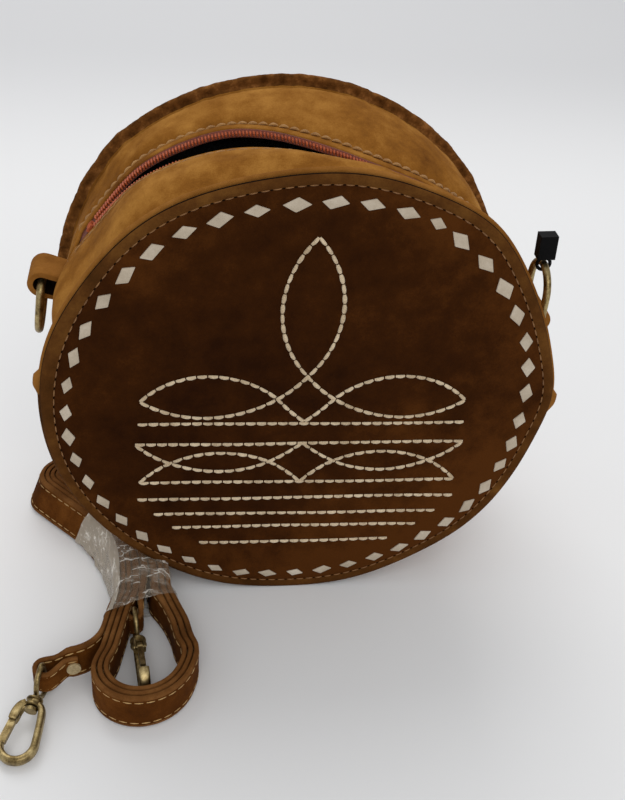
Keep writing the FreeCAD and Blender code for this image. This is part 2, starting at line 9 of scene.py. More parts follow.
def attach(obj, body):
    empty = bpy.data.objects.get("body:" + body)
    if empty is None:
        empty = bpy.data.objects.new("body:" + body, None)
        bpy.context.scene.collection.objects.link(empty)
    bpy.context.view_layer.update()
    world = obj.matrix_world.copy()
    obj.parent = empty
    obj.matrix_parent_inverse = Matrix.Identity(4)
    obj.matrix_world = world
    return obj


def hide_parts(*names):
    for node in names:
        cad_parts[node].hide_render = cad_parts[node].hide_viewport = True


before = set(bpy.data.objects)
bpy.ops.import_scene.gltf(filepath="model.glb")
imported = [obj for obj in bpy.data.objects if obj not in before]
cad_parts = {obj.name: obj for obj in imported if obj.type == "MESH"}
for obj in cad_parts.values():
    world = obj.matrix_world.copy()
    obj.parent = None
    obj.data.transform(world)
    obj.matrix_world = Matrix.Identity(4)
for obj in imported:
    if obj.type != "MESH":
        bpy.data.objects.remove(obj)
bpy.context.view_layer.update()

scene = bpy.context.scene
mm = 0.001
bagAxis = 107.0  # height of the round bag's middle, mm
chance = random.Random(7)
sides = (("front", -1), ("back", 1))  # and the sign of Y


def rim(radius, angle, y):
    turn = math.radians(angle)
    return (radius * math.cos(turn), y, bagAxis + radius * math.sin(turn))


def ease(low, high, value):
    t = min(1.0, max(0.0, (value - low) / (high - low)))
    return t * t * (3 - 2 * t)


def ripple(x, y, z):
    return noise.noise(Vector((x, y, z)))


def spread(low, high, steps):
    return [low + (high - low) * i / steps for i in range(steps + 1)]


def circle(count):
    return [2 * math.pi * i / count for i in range(count)]


def blunt(value, power):  # a circle's coordinate, pushed out towards a square
    return math.copysign(abs(value) ** power, value)


def humps(angle, rows):  # rows of centre, width and height
    apart = [(angle - centre + 180.0) % 360.0 - 180.0 for centre, _, _ in rows]
    return sum(high * math.exp(-((a / width) ** 2)) for a, (_, width, high) in zip(apart, rows))


def waves(angle, rows):  # rows of height, count and phase
    return sum(high * math.sin(count * math.radians(angle) + phase) for high, count, phase in rows)


def through(knots, at):  # smooth value through (place, value) pairs
    if at <= knots[0][0] or at >= knots[-1][0]:
        return knots[0][1] if at <= knots[0][0] else knots[-1][1]
    i = next(k for k in range(1, len(knots)) if knots[k][0] >= at)
    (x0, y0), (x1, y1) = knots[i - 1], knots[i]

    def slope(k):
        if k in (0, len(knots) - 1):
            return 0.0
        return (knots[k + 1][1] - knots[k - 1][1]) / (knots[k + 1][0] - knots[k - 1][0])

    run = x1 - x0
    t = (at - x0) / run
    m0, m1 = slope(i - 1) * run, slope(i) * run
    return y0 + t * (m0 + t * (3 * (y1 - y0) - 2 * m0 - m1 + t * (2 * (y0 - y1) + m0 + m1)))


# Socket with operators, and one builder for finishes
class Wire:
    def __init__(self, finish, socket):
        self.finish = finish
        self.socket = socket

    def join(self, kind, first, second):
        return self.finish.node("ShaderNodeMath", {"operation": kind}, {0: first, 1: second})

    def __add__(self, other):
        return self.join("ADD", self, other)

    def __sub__(self, other):
        return self.join("SUBTRACT", self, other)

    def __rsub__(self, other):
        return self.join("SUBTRACT", other, self)

    def __mul__(self, other):
        return self.join("MULTIPLY", self, other)

    __radd__, __rmul__ = __add__, __mul__


class Finish:
    def __init__(self, name):
        self.material = bpy.data.materials.new(name)
        self.material.use_nodes = True
        self.tree = self.material.node_tree
        self.tree.nodes.clear()
        self.shader = self.tree.nodes.new("ShaderNodeBsdfPrincipled")
        output = self.tree.nodes.new("ShaderNodeOutputMaterial")
        self.tree.links.new(self.shader.outputs[0], output.inputs["Surface"])
        self.place = self.node("ShaderNodeTexCoord", out="Object")

    def put(self, socket, value):
        if isinstance(value, Wire):
            self.tree.links.new(value.socket, socket)
        else:
            socket.default_value = value

    def node(self, kind, settings={}, inputs={}, out=0):
        made = self.tree.nodes.new(kind)
        for key, value in settings.items():
            if key == "stops":
                ramp = made.color_ramp.elements
                while len(ramp) < len(value):
                    ramp.new(0.5)
                for stop, (at, colour) in zip(ramp, value):
                    stop.position = at
                    stop.color = colour
            else:
                setattr(made, key, value)
        for key, value in inputs.items():
            self.put(made.inputs[key], value)
        return Wire(self, made.outputs[out])

    def cloud(self, scale, detail=3.0, rough=0.55, place=None):
        inputs = {"Vector": place or self.place, "Scale": scale, "Detail": detail, "Roughness": rough}
        return self.node("ShaderNodeTexNoise", {}, inputs)

    def vector(self, kind, *inputs, out=0):
        return self.node("ShaderNodeVectorMath", {"operation": kind}, dict(enumerate(inputs)), out)

    def stretched(self, scale):
        return self.vector("MULTIPLY", self.place, scale)

    def step(self, value, low, high):
        inputs = {"Value": value, "From Min": low, "From Max": high}
        return self.node("ShaderNodeMapRange", {"interpolation_type": "SMOOTHSTEP"}, inputs)

    def ramp(self, value, *stops):
        return self.node("ShaderNodeValToRGB", {"stops": stops}, {"Fac": value})

    def tones(self, value, dark, middle, light):
        return self.ramp(value, (0.36, rgb(*dark)), (0.5, rgb(*middle)), (0.64, rgb(*light)))

    def mix(self, first, second, share):
        return self.node("ShaderNodeMix", {"data_type": "RGBA"}, {0: share, 6: first, 7: second}, 2)

    def bump(self, height, strength, depth):
        return self.node("ShaderNodeBump", {}, {"Height": height, "Strength": strength, "Distance": depth})

    def surface(self, **sockets):
        for key, value in sockets.items():
            self.put(self.shader.inputs[key.replace("_", " ")], value)
        return self.material


def rgb(*levels):
    return (*(((c / 255 + 0.055) / 1.055) ** 2.4 if c > 10 else c / 255 / 12.92 for c in levels), 1.0)


# Leather, thread, metal, cloth, plastic and film
paleRimRadii = (0.078, 0.101)  # from the bag's axis, m; the panel grows paler between these radii


def suede(name, dark, middle, light, cloudScale=16.0, drift=(0.0, 0.0), rimPaling=0.0):
    f = Finish(name)
    broad = f.cloud(cloudScale, 4.0, 0.6)
    mottle = f.cloud(95.0, 4.0, 0.65)
    nap = f.cloud(1500.0, 2.0, 0.6)
    tone = broad * 0.55 + mottle * 0.33 + nap * 0.12
    if any(drift):  # painted light: the tone drifts paler to one side, making up for how the lamps fall, and grows paler towards the rim
        fromAxis = f.vector("MULTIPLY_ADD", f.place, (1, 0, 1), (0, 0, -bagAxis * mm))
        far = f.vector("LENGTH", fromAxis, out="Value")
        tone = tone + f.vector("DOT_PRODUCT", fromAxis, (drift[0], 0, drift[1]), out="Value")
        tone = tone + f.step(far, *paleRimRadii) * rimPaling
    colour = f.tones(tone, dark, middle, light)
    height = nap * 0.5 + mottle * 0.5
    return f.surface(
        Base_Color=colour, Roughness=0.8 + nap * 0.15, Normal=f.bump(height, 0.35, 0.0006),
        Sheen_Weight=0.02, Sheen_Roughness=0.6, Sheen_Tint=rgb(*light), Specular_IOR_Level=0.04,
    )


def threadFinish(name, dark, light):
    f = Finish(name)
    ply = f.cloud(2600.0, 2.0)
    drift = f.cloud(120.0, 2.0)
    colour = f.ramp(ply * 0.5 + drift * 0.5, (0.35, rgb(*dark)), (0.62, rgb(*light)))
    return f.surface(Base_Color=colour, Roughness=0.8, Normal=f.bump(ply, 0.5, 0.0003), Sheen_Weight=0.1)


def brassFinish(name):
    f = Finish(name)
    patina = f.cloud(260.0, 4.0, 0.65)
    fine = f.cloud(2200.0, 2.0)
    tone = patina * 0.75 + fine * 0.25
    colour = f.tones(tone, (92, 76, 46), (150, 130, 88), (194, 174, 126))
    return f.surface(
        Base_Color=colour, Metallic=1.0, Roughness=0.28 + patina * 0.25, Normal=f.bump(fine, 0.08, 0.0002),
    )


def wovenFinish(name, dark, light, pitch):
    f = Finish(name)
    along = f.stretched((1.0, 1.0, 0.35))
    weave = f.cloud(1.0 / (pitch * mm), 1.0, 0.5, along)
    wide = f.cloud(60.0, 3.0)
    colour = f.ramp(weave * 0.6 + wide * 0.4, (0.35, rgb(*dark)), (0.65, rgb(*light)))
    return f.surface(Base_Color=colour, Roughness=0.88, Normal=f.bump(weave, 0.6, 0.0003), Sheen_Weight=0.1)


def plasticFinish(name, dark, light, rough, shine=0.25):
    f = Finish(name)
    speck = f.cloud(900.0, 3.0)
    colour = f.ramp(speck, (0.35, rgb(*dark)), (0.65, rgb(*light)))
    return f.surface(
        Base_Color=colour, Roughness=rough + speck * 0.15, Specular_IOR_Level=shine,
        Normal=f.bump(speck, 0.1, 0.0002),
    )


def filmFinish(name, veil, shine, grain, lines):
    f = Finish(name)
    warp = f.cloud(60.0, 3.0, 0.6)
    bent = f.vector("MULTIPLY_ADD", warp, (0.02, 0.02, 0.02), f.stretched(grain))
    cells = {"Vector": bent, "Scale": 150.0}
    crack = f.node("ShaderNodeTexVoronoi", {"feature": "DISTANCE_TO_EDGE"}, cells, "Distance")
    crease = f.cloud(230.0, 5.0, 0.7, f.stretched(grain))
    # Pale opaque creases and patches: partly the film's own whitened creases, partly painted highlight
    line = (1 - f.step(crack, 0.0, 0.06)) * f.step(crease, 0.44, 0.62)
    cover = f.step(crease, 0.46, 0.74)
    pale = f.step(line * (2 * lines) + cover * 0.6, 0.0, 0.8)
    colour = f.mix(rgb(188, 175, 156), rgb(236, 229, 218), pale)
    return f.surface(
        Base_Color=colour, Roughness=0.16, Alpha=veil + cover * shine + line * lines, IOR=1.49,
        Normal=f.bump(crease * 0.6 + crack * 0.4, 0.9, 0.0012),
    )


finishes = {
    # drift is painted light: the panel paler to the right and low, the rim band paler at the top, the flange paler
    # low down
    "panel": suede("oiledPanelSuede", (38, 16, 3), (54, 26, 5), (78, 42, 12), 11.0, (0.7, -0.4), 0.07),
    "rimBand": suede("rimBandSuedePaintedLight", (60, 35, 11), (82, 49, 19), (106, 69, 29), 40.0, (0.02, 0.3)),
    "flange": suede("rawFlangeSuede", (70, 40, 13), (106, 66, 29), (154, 103, 54), 240.0, (0.1, -0.3)),
    "gusset": suede("tanGussetSuede", (96, 56, 17), (134, 86, 31), (170, 119, 54)),
    "tab": suede("tanTabSuede", (104, 62, 22), (130, 84, 34), (154, 104, 48)),
    "strap": suede("brownStrapSuede", (56, 28, 5), (82, 44, 11), (110, 65, 23), 26.0),
    "strapEdge": suede("strapRawEdge", (78, 46, 20), (104, 66, 32), (130, 88, 48), 60.0),
    "lace": suede("creamLace", (168, 154, 134), (186, 172, 152), (204, 192, 174), 60.0),
    "cream": threadFinish("creamBootThread", (166, 142, 110), (222, 202, 170)),
    "tan": threadFinish("tanSeamThread", (98, 62, 28), (144, 100, 52)),
    "zipCord": threadFinish("tanZipThread", (122, 80, 34), (172, 126, 66)),
    "strapThread": threadFinish("tanStrapThread", (148, 108, 54), (202, 164, 102)),
    # near-black painted shade: for the needle holes, the groove round the panel rim and the inside of the tab folds
    "hole": suede("paintedHoleShade", (14, 6, 2), (22, 10, 3), (30, 14, 5)),
    "brass": brassFinish("antiqueBrass"),
    "tape": wovenFinish("brickZipTape", (84, 34, 18), (128, 58, 34), 0.5),
    "teeth": plasticFinish("brickZipTeeth", (138, 58, 28), (186, 92, 48), 0.45),
    "lining": wovenFinish("darkLiningCloth", (14, 12, 11), (30, 27, 25), 0.4),
    "board": wovenFinish("greyBoard", (150, 138, 120), (178, 166, 148), 1.2),
    "black": plasticFinish("blackTagPlastic", (5, 5, 6), (12, 11, 12), 0.5, 0.08),
    "rivet": plasticFinish("paleRivetHead", (158, 138, 100), (190, 170, 130), 0.35),
    # both film finishes carry painted highlight in their pale creases; the side one is paler and more opaque
    "film": filmFinish("clearFilm", 0.1, 0.26, (0.4, 1.2, 1.0), 0.5),
    "filmSide": filmFinish("paleFilmSide", 0.58, 0.25, (1.6, 0.3, 1.1), 0.2),
}
print("finishes", len(finishes))


def addObject(name, data):
    made = bpy.data.objects.new(name, data)
    scene.collection.objects.link(made)
    return made


# Mesh builder: everything is laid out in mm
class Shape:
    def __init__(self):
        self.points = []
        self.faces = []
        self.slots = {}  # faces that take another finish

    def loft(self, rings, closeAlong=False, edge=(), bands={}):
        start, count = len(self.points), len(rings[0])
        for ring in rings:
            self.points.extend(ring)
        for i in range(len(rings) if closeAlong else len(rings) - 1):
            a, b = start + i * count, start + (i + 1) % len(rings) * count
            for j in range(count):
                k = (j + 1) % count
                self.slots[len(self.faces)] = bands.get(i, 1 if j in edge else 0)
                self.faces.append((a + j, a + k, b + k, b + j))
        if not closeAlong:
            last = start + (len(rings) - 1) * count
            self.faces.append(tuple(range(start + count - 1, start - 1, -1)))
            self.faces.append(tuple(range(last, last + count)))

    def stitch(self, a, b, out, width, height, bow=0.3, sides=6, shares=(0.35, 0.85, 1.0, 0.85, 0.35)):
        a, b, out = Vector(a), Vector(b), Vector(out).normalized()
        side = (b - a).cross(out).normalized()
        rings = []
        for i, share in enumerate(shares):
            t = i / (len(shares) - 1)
            middle = a.lerp(b, t) + out * (bow * height * math.sin(math.pi * t))
            ring = []
            for turn in circle(sides):
                across = side * (math.cos(turn) * width / 2 * share)
                ring.append(tuple(middle + across + out * (math.sin(turn) * height / 2 * share)))
            rings.append(ring)
        self.loft(rings)

    def piece(self, name, finish, body, slotName, *stands, corner=42.0, more=()):
        mesh = bpy.data.meshes.new(name)
        mesh.from_pydata([(x * mm, y * mm, z * mm) for x, y, z in self.points], [], self.faces)
        mesh.validate()
        work = bmesh.new()
        work.from_mesh(mesh)
        bmesh.ops.recalc_face_normals(work, faces=work.faces)
        work.to_mesh(mesh)
        work.free()
        mesh.polygons.foreach_set("use_smooth", [True] * len(mesh.polygons))
        mesh.set_sharp_from_angle(angle=math.radians(corner))
        for part in (finish, *more):
            mesh.materials.append(finishes[part])
        mesh.polygons.foreach_set("material_index", [self.slots.get(i, 0) for i in range(len(mesh.polygons))])
        made = addObject(name, mesh)
        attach(made, body)
        if stands:
            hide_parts(*stands)
        return made


def normals(path):
    found = []
    for i in range(len(path)):
        ahead, behind = path[min(i + 1, len(path) - 1)], path[max(i - 1, 0)]
        dx, dy = ahead[0] - behind[0], ahead[1] - behind[1]
        size = math.hypot(dx, dy)
        found.append((-dy / size, dx / size))
    return found


def outline(path, capSteps=4):
    # Closed outline of a band along a flat path of x, y and half thickness, with rounded ends
    left, right = [], []
    for (x, y, half), (nx, ny) in zip(path, normals(path)):
        left.append((x + nx * half, y + ny * half))
        right.append((x - nx * half, y - ny * half))

    def cap(at, begin):
        x, y, half = path[at]
        turn = math.atan2(begin[1] - y, begin[0] - x)
        steps = [turn - math.pi * (k + 1) / (capSteps + 1) for k in range(capSteps)]
        return [(x + half * math.cos(s), y + half * math.sin(s)) for s in steps]

    return left + cap(-1, left[-1]) + right[::-1] + cap(0, right[0])


def bandRing(path, angle, capSteps=4):  # a band's section, set round the bag and kept off the table
    placed = [rim(r, angle, y) for y, r in outline(path, capSteps)]
    return [(x, y, max(z, 0.0)) for x, y, z in placed]


def smoothed(points):
    kept = [points[0]]
    for a, b in zip(points, points[1:]):
        for share in (0.25, 0.75):
            kept.append(tuple((1 - share) * p + share * q for p, q in zip(a, b)))
    return kept + [points[-1]]


def lengths(points):
    marks = [0.0]
    for a, b in zip(points, points[1:]):
        marks.append(marks[-1] + (b - a).length)
    return marks


def walk(points, pitch, dash):
    # Even dashes along a line of points, as (start, end) pairs
    points = [Vector(p) for p in points]
    marks = lengths(points)
    count = max(1, round(marks[-1] / pitch))
    step = marks[-1] / count

    def at(distance):
        distance = min(max(distance, 0.0), marks[-1])
        i = next((k for k in range(1, len(marks)) if marks[k] >= distance), len(marks) - 1)
        run = max(marks[i] - marks[i - 1], 1e-9)
        return points[i - 1].lerp(points[i], (distance - marks[i - 1]) / run)

    gap = step * (1 - dash / pitch) / 2
    return [(at(i * step + gap), at((i + 1) * step - gap)) for i in range(count)]


# Round panels
panelCut = {
    "face": 50.5, "thick": 1.8, "around": 360, "seam": 102.65, "rim": 106.0,
    "soft": (70, 106),  # radii between which the rim starts to wave
    "wave": ((0.45, 3, 0.4), (0.3, 5, 1.7), (0.2, 11, 0.0)), "edge": ((0.35, 4, 2.0), (0.25, 9, 0.6)),
    # Angle, width and mm of each soft place: front rim, front seam sewn further in, back rim
    "sag": ((99, 22, -2.9), (143, 20, -1.7), (215, 40, 1.0), (2, 9, 2.2), (51, 13, 2.4)),
    "drawn": ((166, 18, -1.6),),
    "swell": ((139, 17, 2.4), (112, 22, 1.5)),
    "rimRows": range(13, 19), "grooveShadeRows": range(19, 23),  # of the profile; the rim rows take the rim band finish, the groove rows near-black painted shade
}


def rimForm(side, angle, radius):  # how far the soft rim moves out and along Y
    c = panelCut
    out = waves(angle, c["edge"]) * ease(*c["soft"], radius)
    along = waves(angle, c["wave"]) * ease(*c["soft"], radius)
    if side < 0:
        out += humps(angle, c["sag"]) * ease(60, 92, radius)
        out += humps(angle, c["drawn"]) * math.exp(-(((radius - c["seam"]) / 2.2) ** 2))
    else:
        a = math.radians(angle)
        ragged = sum(ripple(k * math.cos(a), k * math.sin(a), 8.8) / k ** 0.35 for k in (9, 23, 61))
        out += 1.1 * ragged * ease(104.5, 106.5, radius)
        out += humps(angle, c["swell"]) * ease(90, 104, radius)
    return out, along


def panelPoint(side, radius, angle, depth):
    out, along = rimForm(side, angle, radius)
    x, _, z = rim(radius + out, angle, 0)
    dent = 0.5 * ripple(x / 38, side * 3.1, z / 38) * (1 - ease(*panelCut["soft"], radius))
    return (x, side * (panelCut["face"] + depth + dent) + along, max(z, 0.0))


def addPanel(name, side):
    c = panelCut
    profile = [(r, 0.0) for r in (3, 14, 26, 38, 50, 61, 71, 80, 88, 94, 98.5)]
    profile += [(100.6, -0.05), (101.8, -0.32), (c["seam"], -0.5), (103.3, -0.25), (104.1, 0.2)]
    profile += [(105.0, 0.44), (105.8, 0.4), (106.5, 0.1), (107.0, -0.4), (107.2, -0.9)]
    profile += [(107.1, -1.3), (106.7, -1.65), (c["rim"], -c["thick"])]
    profile += [(r, -c["thick"]) for r in (98, 80, 50, 20, 3)]
    shape = Shape()
    shape.loft([
        [panelPoint(side, radius, 360.0 * i / c["around"], depth) for i in range(c["around"])]
        for radius, depth in profile
    ], bands={**dict.fromkeys(c["rimRows"], 1), **dict.fromkeys(c["grooveShadeRows"], 2)})
    shape.piece(name + "Panel", "panel", "bag", "panel_suede", name + "_panel", more=["rimBand", "hole"])


for name, side in sides:
    addPanel(name, side)
print("panels")

# Zip opening, with half width at the ends and bow of the slit, the tapes and the teeth
zipCut = {
    "middle": 87.0, "end": 66.5, "y": -1.0, "radius": 101.4, "hem": 0.8,
    "slit": (4.9, 5.0), "tapes": (1.2, 4.2), "teeth": (1.0, 4.2),
}
zipCut["chord"] = zipCut["radius"] * math.sin(math.radians(zipCut["end"]))


def lens(half, bow, phi):  # half width at an angle from the middle
    reachBow = (zipCut["chord"] ** 2 + bow ** 2) / (2 * bow)
    x = min(abs(zipCut["radius"] * math.sin(math.radians(phi))), zipCut["chord"])
    return half + bow - (reachBow - math.sqrt(reachBow ** 2 - x ** 2))


# The soft top settles: the zip line wanders, sinks to the right and closes there
topForm = {
    "shift": (
        (33, 0), (42, -3.5), (50, -6.5), (61, -9.5), (71, -10.5), (82, -9), (90, -6.4), (97, -3.2), (107, 1.8),
        (119, 3.6), (126, 5.0), (133, 6.9), (140, 7.8), (148, 7.2), (156, 4.2), (164, 0),
    ),
    "sink": (
        (33, 0), (42, 2), (50, 4.2), (61, 6.3), (71, 7.2), (82, 6.3), (90, 5), (97, 3.5), (107, 1.8), (119, 0),
        (130, -1), (140, -0.5), (146, -0.8), (152, -2.3), (158, -2.8), (164, -1.4), (171, 0),
    ),
    "close": (
        (33, 0), (45, 2.1), (55, 3.8), (65, 4.7), (75, 4.6), (82, 3.3), (89, 1.4), (97, -0.7), (107, -2.5),
        (119, -2.6), (128, -2.6), (137, -2.2), (146, -1.0), (154, 0),
    ),
    "tuck": ((68, 0), (80, 2.6), (92, 3.2), (106, 3.0), (114, 1.6), (121, 0)),  # front teeth under their lip
    "draw": 0.9,  # how far tucked teeth also move to the front
    "shiftFade": (12, 44), "sinkFade": (8, 43),  # distances from the zip
}


def settle(angle, y, radius):
    apart = y - zipCut["y"]
    away, hand = abs(apart), math.copysign(1.0, apart)
    hold = 1 - ease(*topForm["shiftFade"], away)
    close = through(topForm["close"], angle) * min(1.0, away / 5)
    low = 1 - ease(*topForm["sinkFade"], away)
    shift = (through(topForm["shift"], angle) - hand * close) * hold
    return y + shift, radius - through(topForm["sink"], angle) * low


def tuckAt(side, angle):
    return through(topForm["tuck"], angle) if side < 0 else 0.0


# Side band of the bag: upper halves beside the zip, lower part and the two laps
gussetCut = {
    "half": 0.8, "middle": 102.2, "flange": 47.2, "crown": 3.5, "puff": 3.2,
    "roll": ((0.0, 107.15, 1.25), (0.0, 105.5, 1.05), (0.1, 104.3, 0.85), (0.9, 103.0, 0.8), (2.2, 102.35, 0.8)),
    "bulge": ((160.5, 8.0, 4.4),),  # by the left tab
    "upper": (3.0, 171.0, 252), "lower": (171.0, 363.0, 288),  # angles and steps
    "ear": 2.0, "ears": ((170.8, 172.6, 174.4, 177.4), (356.6, 359.6, 361.4, 363.2)), "paleEnd": 9,
    "laps": (167.8, 359.8), "lapTurn": 6.4, "lapSteps": 16, "lapWide": 45.6, "lapOver": 0.85,
}


def upperOpen(phi):
    return lens(*zipCut["slit"], phi) * (1 - ease(zipCut["end"] - 1.5, zipCut["end"] + 0.8, abs(phi))) + 0.3


def hemAt(side, angle):
    return zipCut["y"] + side * (upperOpen(angle - zipCut["middle"]) + zipCut["hem"])


def upperPoint(side, angle, y):
    c = gussetCut
    phi = angle - zipCut["middle"]
    out, along = rimForm(side, angle, panelCut["rim"])
    y0, y1 = side * (c["flange"] - 4.0) + along, hemAt(side, angle)
    t = min(1.0, max(0.0, (y - y0) / (y1 - y0)))
    wide = 1 - ease(38, 62, abs(phi))
    if side < 0:
        form = c["crown"] * wide * (ease(0.0, 0.5, t) - 0.55 * ease(0.7, 1.0, t))
    else:
        form = c["puff"] * (0.25 + 0.75 * wide) * max(0.0, math.sin(math.pi * min(1.0, t / 0.83))) ** 0.6
        form += 0.3 * ease(0.89, 0.93, t) - math.exp(-(((t - 0.85) / 0.045) ** 2))
    fold = 0.7 * ripple(angle / 9, y / 16, 4.2) + 0.22 * ripple(angle / 2.6, y / 7, 9.1)
    radius = c["middle"] + form + fold * math.sin(math.pi * t) + out * (1 - ease(0.0, 0.55, t))
    if side < 0:
        radius += humps(angle, c["bulge"]) * math.sin(math.pi * min(1.0, 1.12 * t)) ** 0.7
    return settle(angle, y, radius)


def flangePath(side, angle, rise=0.0):
    out, along = rimForm(side, angle, panelCut["rim"])
    path = []
    for inward, radius, half in gussetCut["roll"]:
        path.append((side * (gussetCut["flange"] - inward) + along, radius + rise + out, half))
        rise = 0.0  # only the edge is raised
    return path


def addUpper(name, side):
    shape = Shape()
    rings = []
    for angle in spread(*gussetCut["upper"]):
        path = flangePath(side, angle)
        across = spread(path[-1][0] - side * 1.8, hemAt(side, angle), 26)
        path += [(*upperPoint(side, angle, y), gussetCut["half"]) for y in across]
        rings.append(bandRing(path, angle))
    n = len(path)
    shape.loft(rings, edge={*range(4), *range(2 * n, 2 * n + 8)})
    lip = "flange" if side > 0 else "tab"
    shape.piece("upperGusset" + name.title(), "gusset", "bag", "gusset_suede", "upper_gusset_" + name, more=[lip])


def addLower():
    c = gussetCut
    shape = Shape()
    rings = []
    for angle in spread(*c["lower"]):
        rise = sum(c["ear"] * ease(*ear[:2], angle) * (1 - ease(*ear[2:], angle)) for ear in c["ears"])
        path = flangePath(-1, angle, rise)
        for t in spread(0.045, 0.955, 16):
            y = -c["flange"] + 2 * c["flange"] * t
            path.append((y, c["middle"] + 0.5 * ripple(angle / 8, y / 18, 1.3) * math.sin(math.pi * t), c["half"]))
        path += flangePath(1, angle, rise)[::-1]
        rings.append(bandRing(path, angle))
    n, steps = len(path), c["lower"][2]
    paler = dict.fromkeys([*range(c["paleEnd"]), *range(steps - c["paleEnd"], steps)], 2)
    shape.loft(rings, edge={*range(4), *range(n - 5, n + 8), *range(2 * n, 2 * n + 8)}, bands=paler)
    for lapFrom in c["laps"]:
        rings = []
        for angle in spread(lapFrom, lapFrom + c["lapTurn"], c["lapSteps"]):
            edge = min(angle - lapFrom, lapFrom + c["lapTurn"] - angle)
            half = 0.35 + 0.45 * ease(0.0, 0.6, edge)
            over = c["middle"] + c["lapOver"] + half
            across = spread(-c["lapWide"], c["lapWide"], 24)
            path = [(y, over + 0.15 * ripple(angle / 3, y / 9, 7.7), half) for y in across]
            rings.append(bandRing(path, angle))
        shape.loft(rings, bands=dict.fromkeys(range(c["lapSteps"]), 2))
    shape.piece("lowerGusset", "gusset", "bag", "gusset_suede", "lower_gusset", more=["rimBand", "tab"])


for name, side in sides:
    addUpper(name, side)
addLower()
print("side band")

# Lining drum and zip tapes
liningCut = {
    "band": 100.4, "half": 0.3, "face": 47.4, "around": 120, "sunk": ((103, 30, 3.4),),
    "bands": ((-46.4, 46.4, 171.2, 362.8), (-46.4, -9.6, 3.2, 170.8), (7.6, 46.4, 3.2, 170.8)),  # along Y, and angles
    "disc": ((4, 0), (30, 0), (60, 0), (85, 0), (97.6, 0), (98, 0.25), (97.6, 0.5), (60, 0.5), (4, 0.5)),
}
drum = Shape()
for yFrom, yTo, aFrom, aTo in liningCut["bands"]:
    rings = []
    for angle in spread(aFrom, aTo, 150):
        path = []
        for y in spread(yFrom, yTo, 14):
            radius = liningCut["band"] - humps(angle, liningCut["sunk"]) * ease(-30, -46, y)
            place = settle(angle, y, radius) if aFrom < 90 else (y, liningCut["band"])
            path.append((*place, liningCut["half"]))
        rings.append(bandRing(path, angle, 2))
    drum.loft(rings)
for side in (-1, 1):
    rings = []
    for radius, depth in liningCut["disc"]:
        ring = []
        for angle in spread(0.0, 360.0, liningCut["around"])[:-1]:
            out, _ = rimForm(side, angle, radius)
            ring.append(rim(radius + min(0.0, out), angle, side * (liningCut["face"] - depth)))
        rings.append(ring)
    drum.loft(rings)
drum.piece(
    "liningDrum", "lining", "bag", "lining",
    "front_lining", "back_lining", "lower_lining", "upper_lining_front", "upper_lining_back",
)

tapeCut = {
    "span": (20.2, 153.8, 160), "wide": 15.8, "radius": 101.0, "half": 0.28, "steps": 8,
    "plump": (0, 0.1, 0.5, 1.5, 1.3, 0.3, 0, 0, 0),  # the back one stands proud between teeth and hem
}
teethCut = {
    "pitch": 1.45, "long": 3.1, "wide": 1.05, "tall": 1.8, "from": -62.0, "span": 122.2,
    "radii": (102.0, 102.1), "shares": (0.7, 1.0, 0.95, 0.9, 0.6),
}
stopCut = {"angles": (147.4, 148.4, 149.4), "apart": 1.3, "wide": 2.3, "tall": 2.6, "shares": (0.8, 1.0, 0.8)}
for name, side in sides:
    tape = Shape()
    rings = []
    for angle in spread(*tapeCut["span"]):
        inner = zipCut["y"] + side * (lens(*zipCut["tapes"], angle - zipCut["middle"]) + 0.3)
        outer = zipCut["y"] + side * tapeCut["wide"]
        tuck = tuckAt(side, angle)
        path = []
        for k, y in enumerate(spread(inner, outer, tapeCut["steps"])):
            y, r = settle(angle, y, tapeCut["radius"])
            share = 1 - k / tapeCut["steps"]
            r += tapeCut["plump"][k] * (side > 0) - tuck * share
            path.append((y - tuck * topForm["draw"] * share, r, tapeCut["half"]))
        rings.append(bandRing(path, angle, 2))
    tape.loft(rings)
    tape.piece("zipTape" + name.title(), "tape", "bag", "zip_tape", "zip_tape_" + name)

    teeth = Shape()
    step = math.degrees(teethCut["pitch"] / gussetCut["middle"])
    for i in range(int(teethCut["span"] / step)):
        phi = teethCut["from"] + (i + 0.5) * step
        angle = zipCut["middle"] + phi
        near = zipCut["y"] + side * lens(*zipCut["teeth"], phi)
        ends = [settle(angle, y, r) for y, r in zip((near, near + side * teethCut["long"]), teethCut["radii"])]
        out = Vector(rim(1.0, angle, 0)) - Vector((0, 0, bagAxis))
        tuck = tuckAt(side, angle)
        a, b = (rim(r - tuck, angle, y - tuck * topForm["draw"]) for y, r in ends)
        teeth.stitch(a, b, out, teethCut["wide"], teethCut["tall"], 0.1, 8, teethCut["shares"])
    teeth.piece("zipTeeth" + name.title(), "teeth", "bag", "zip_teeth", "zip_teeth_" + name)
stops = Shape()
for side in (-1, 1):
    begin, middle, end = stopCut["angles"]
    y, r = settle(middle, zipCut["y"] + side * stopCut["apart"], gussetCut["middle"])
    a, b = rim(r, begin, y), rim(r, end, y)
    out = Vector(a) - Vector((0, y, bagAxis))
    stops.stitch(a, b, out, stopCut["wide"], stopCut["tall"], 0.0, 8, stopCut["shares"])
stops.piece("zipTopStops", "teeth", "bag", "zip_teeth", "zip_top_stops")
print("lining and zip")

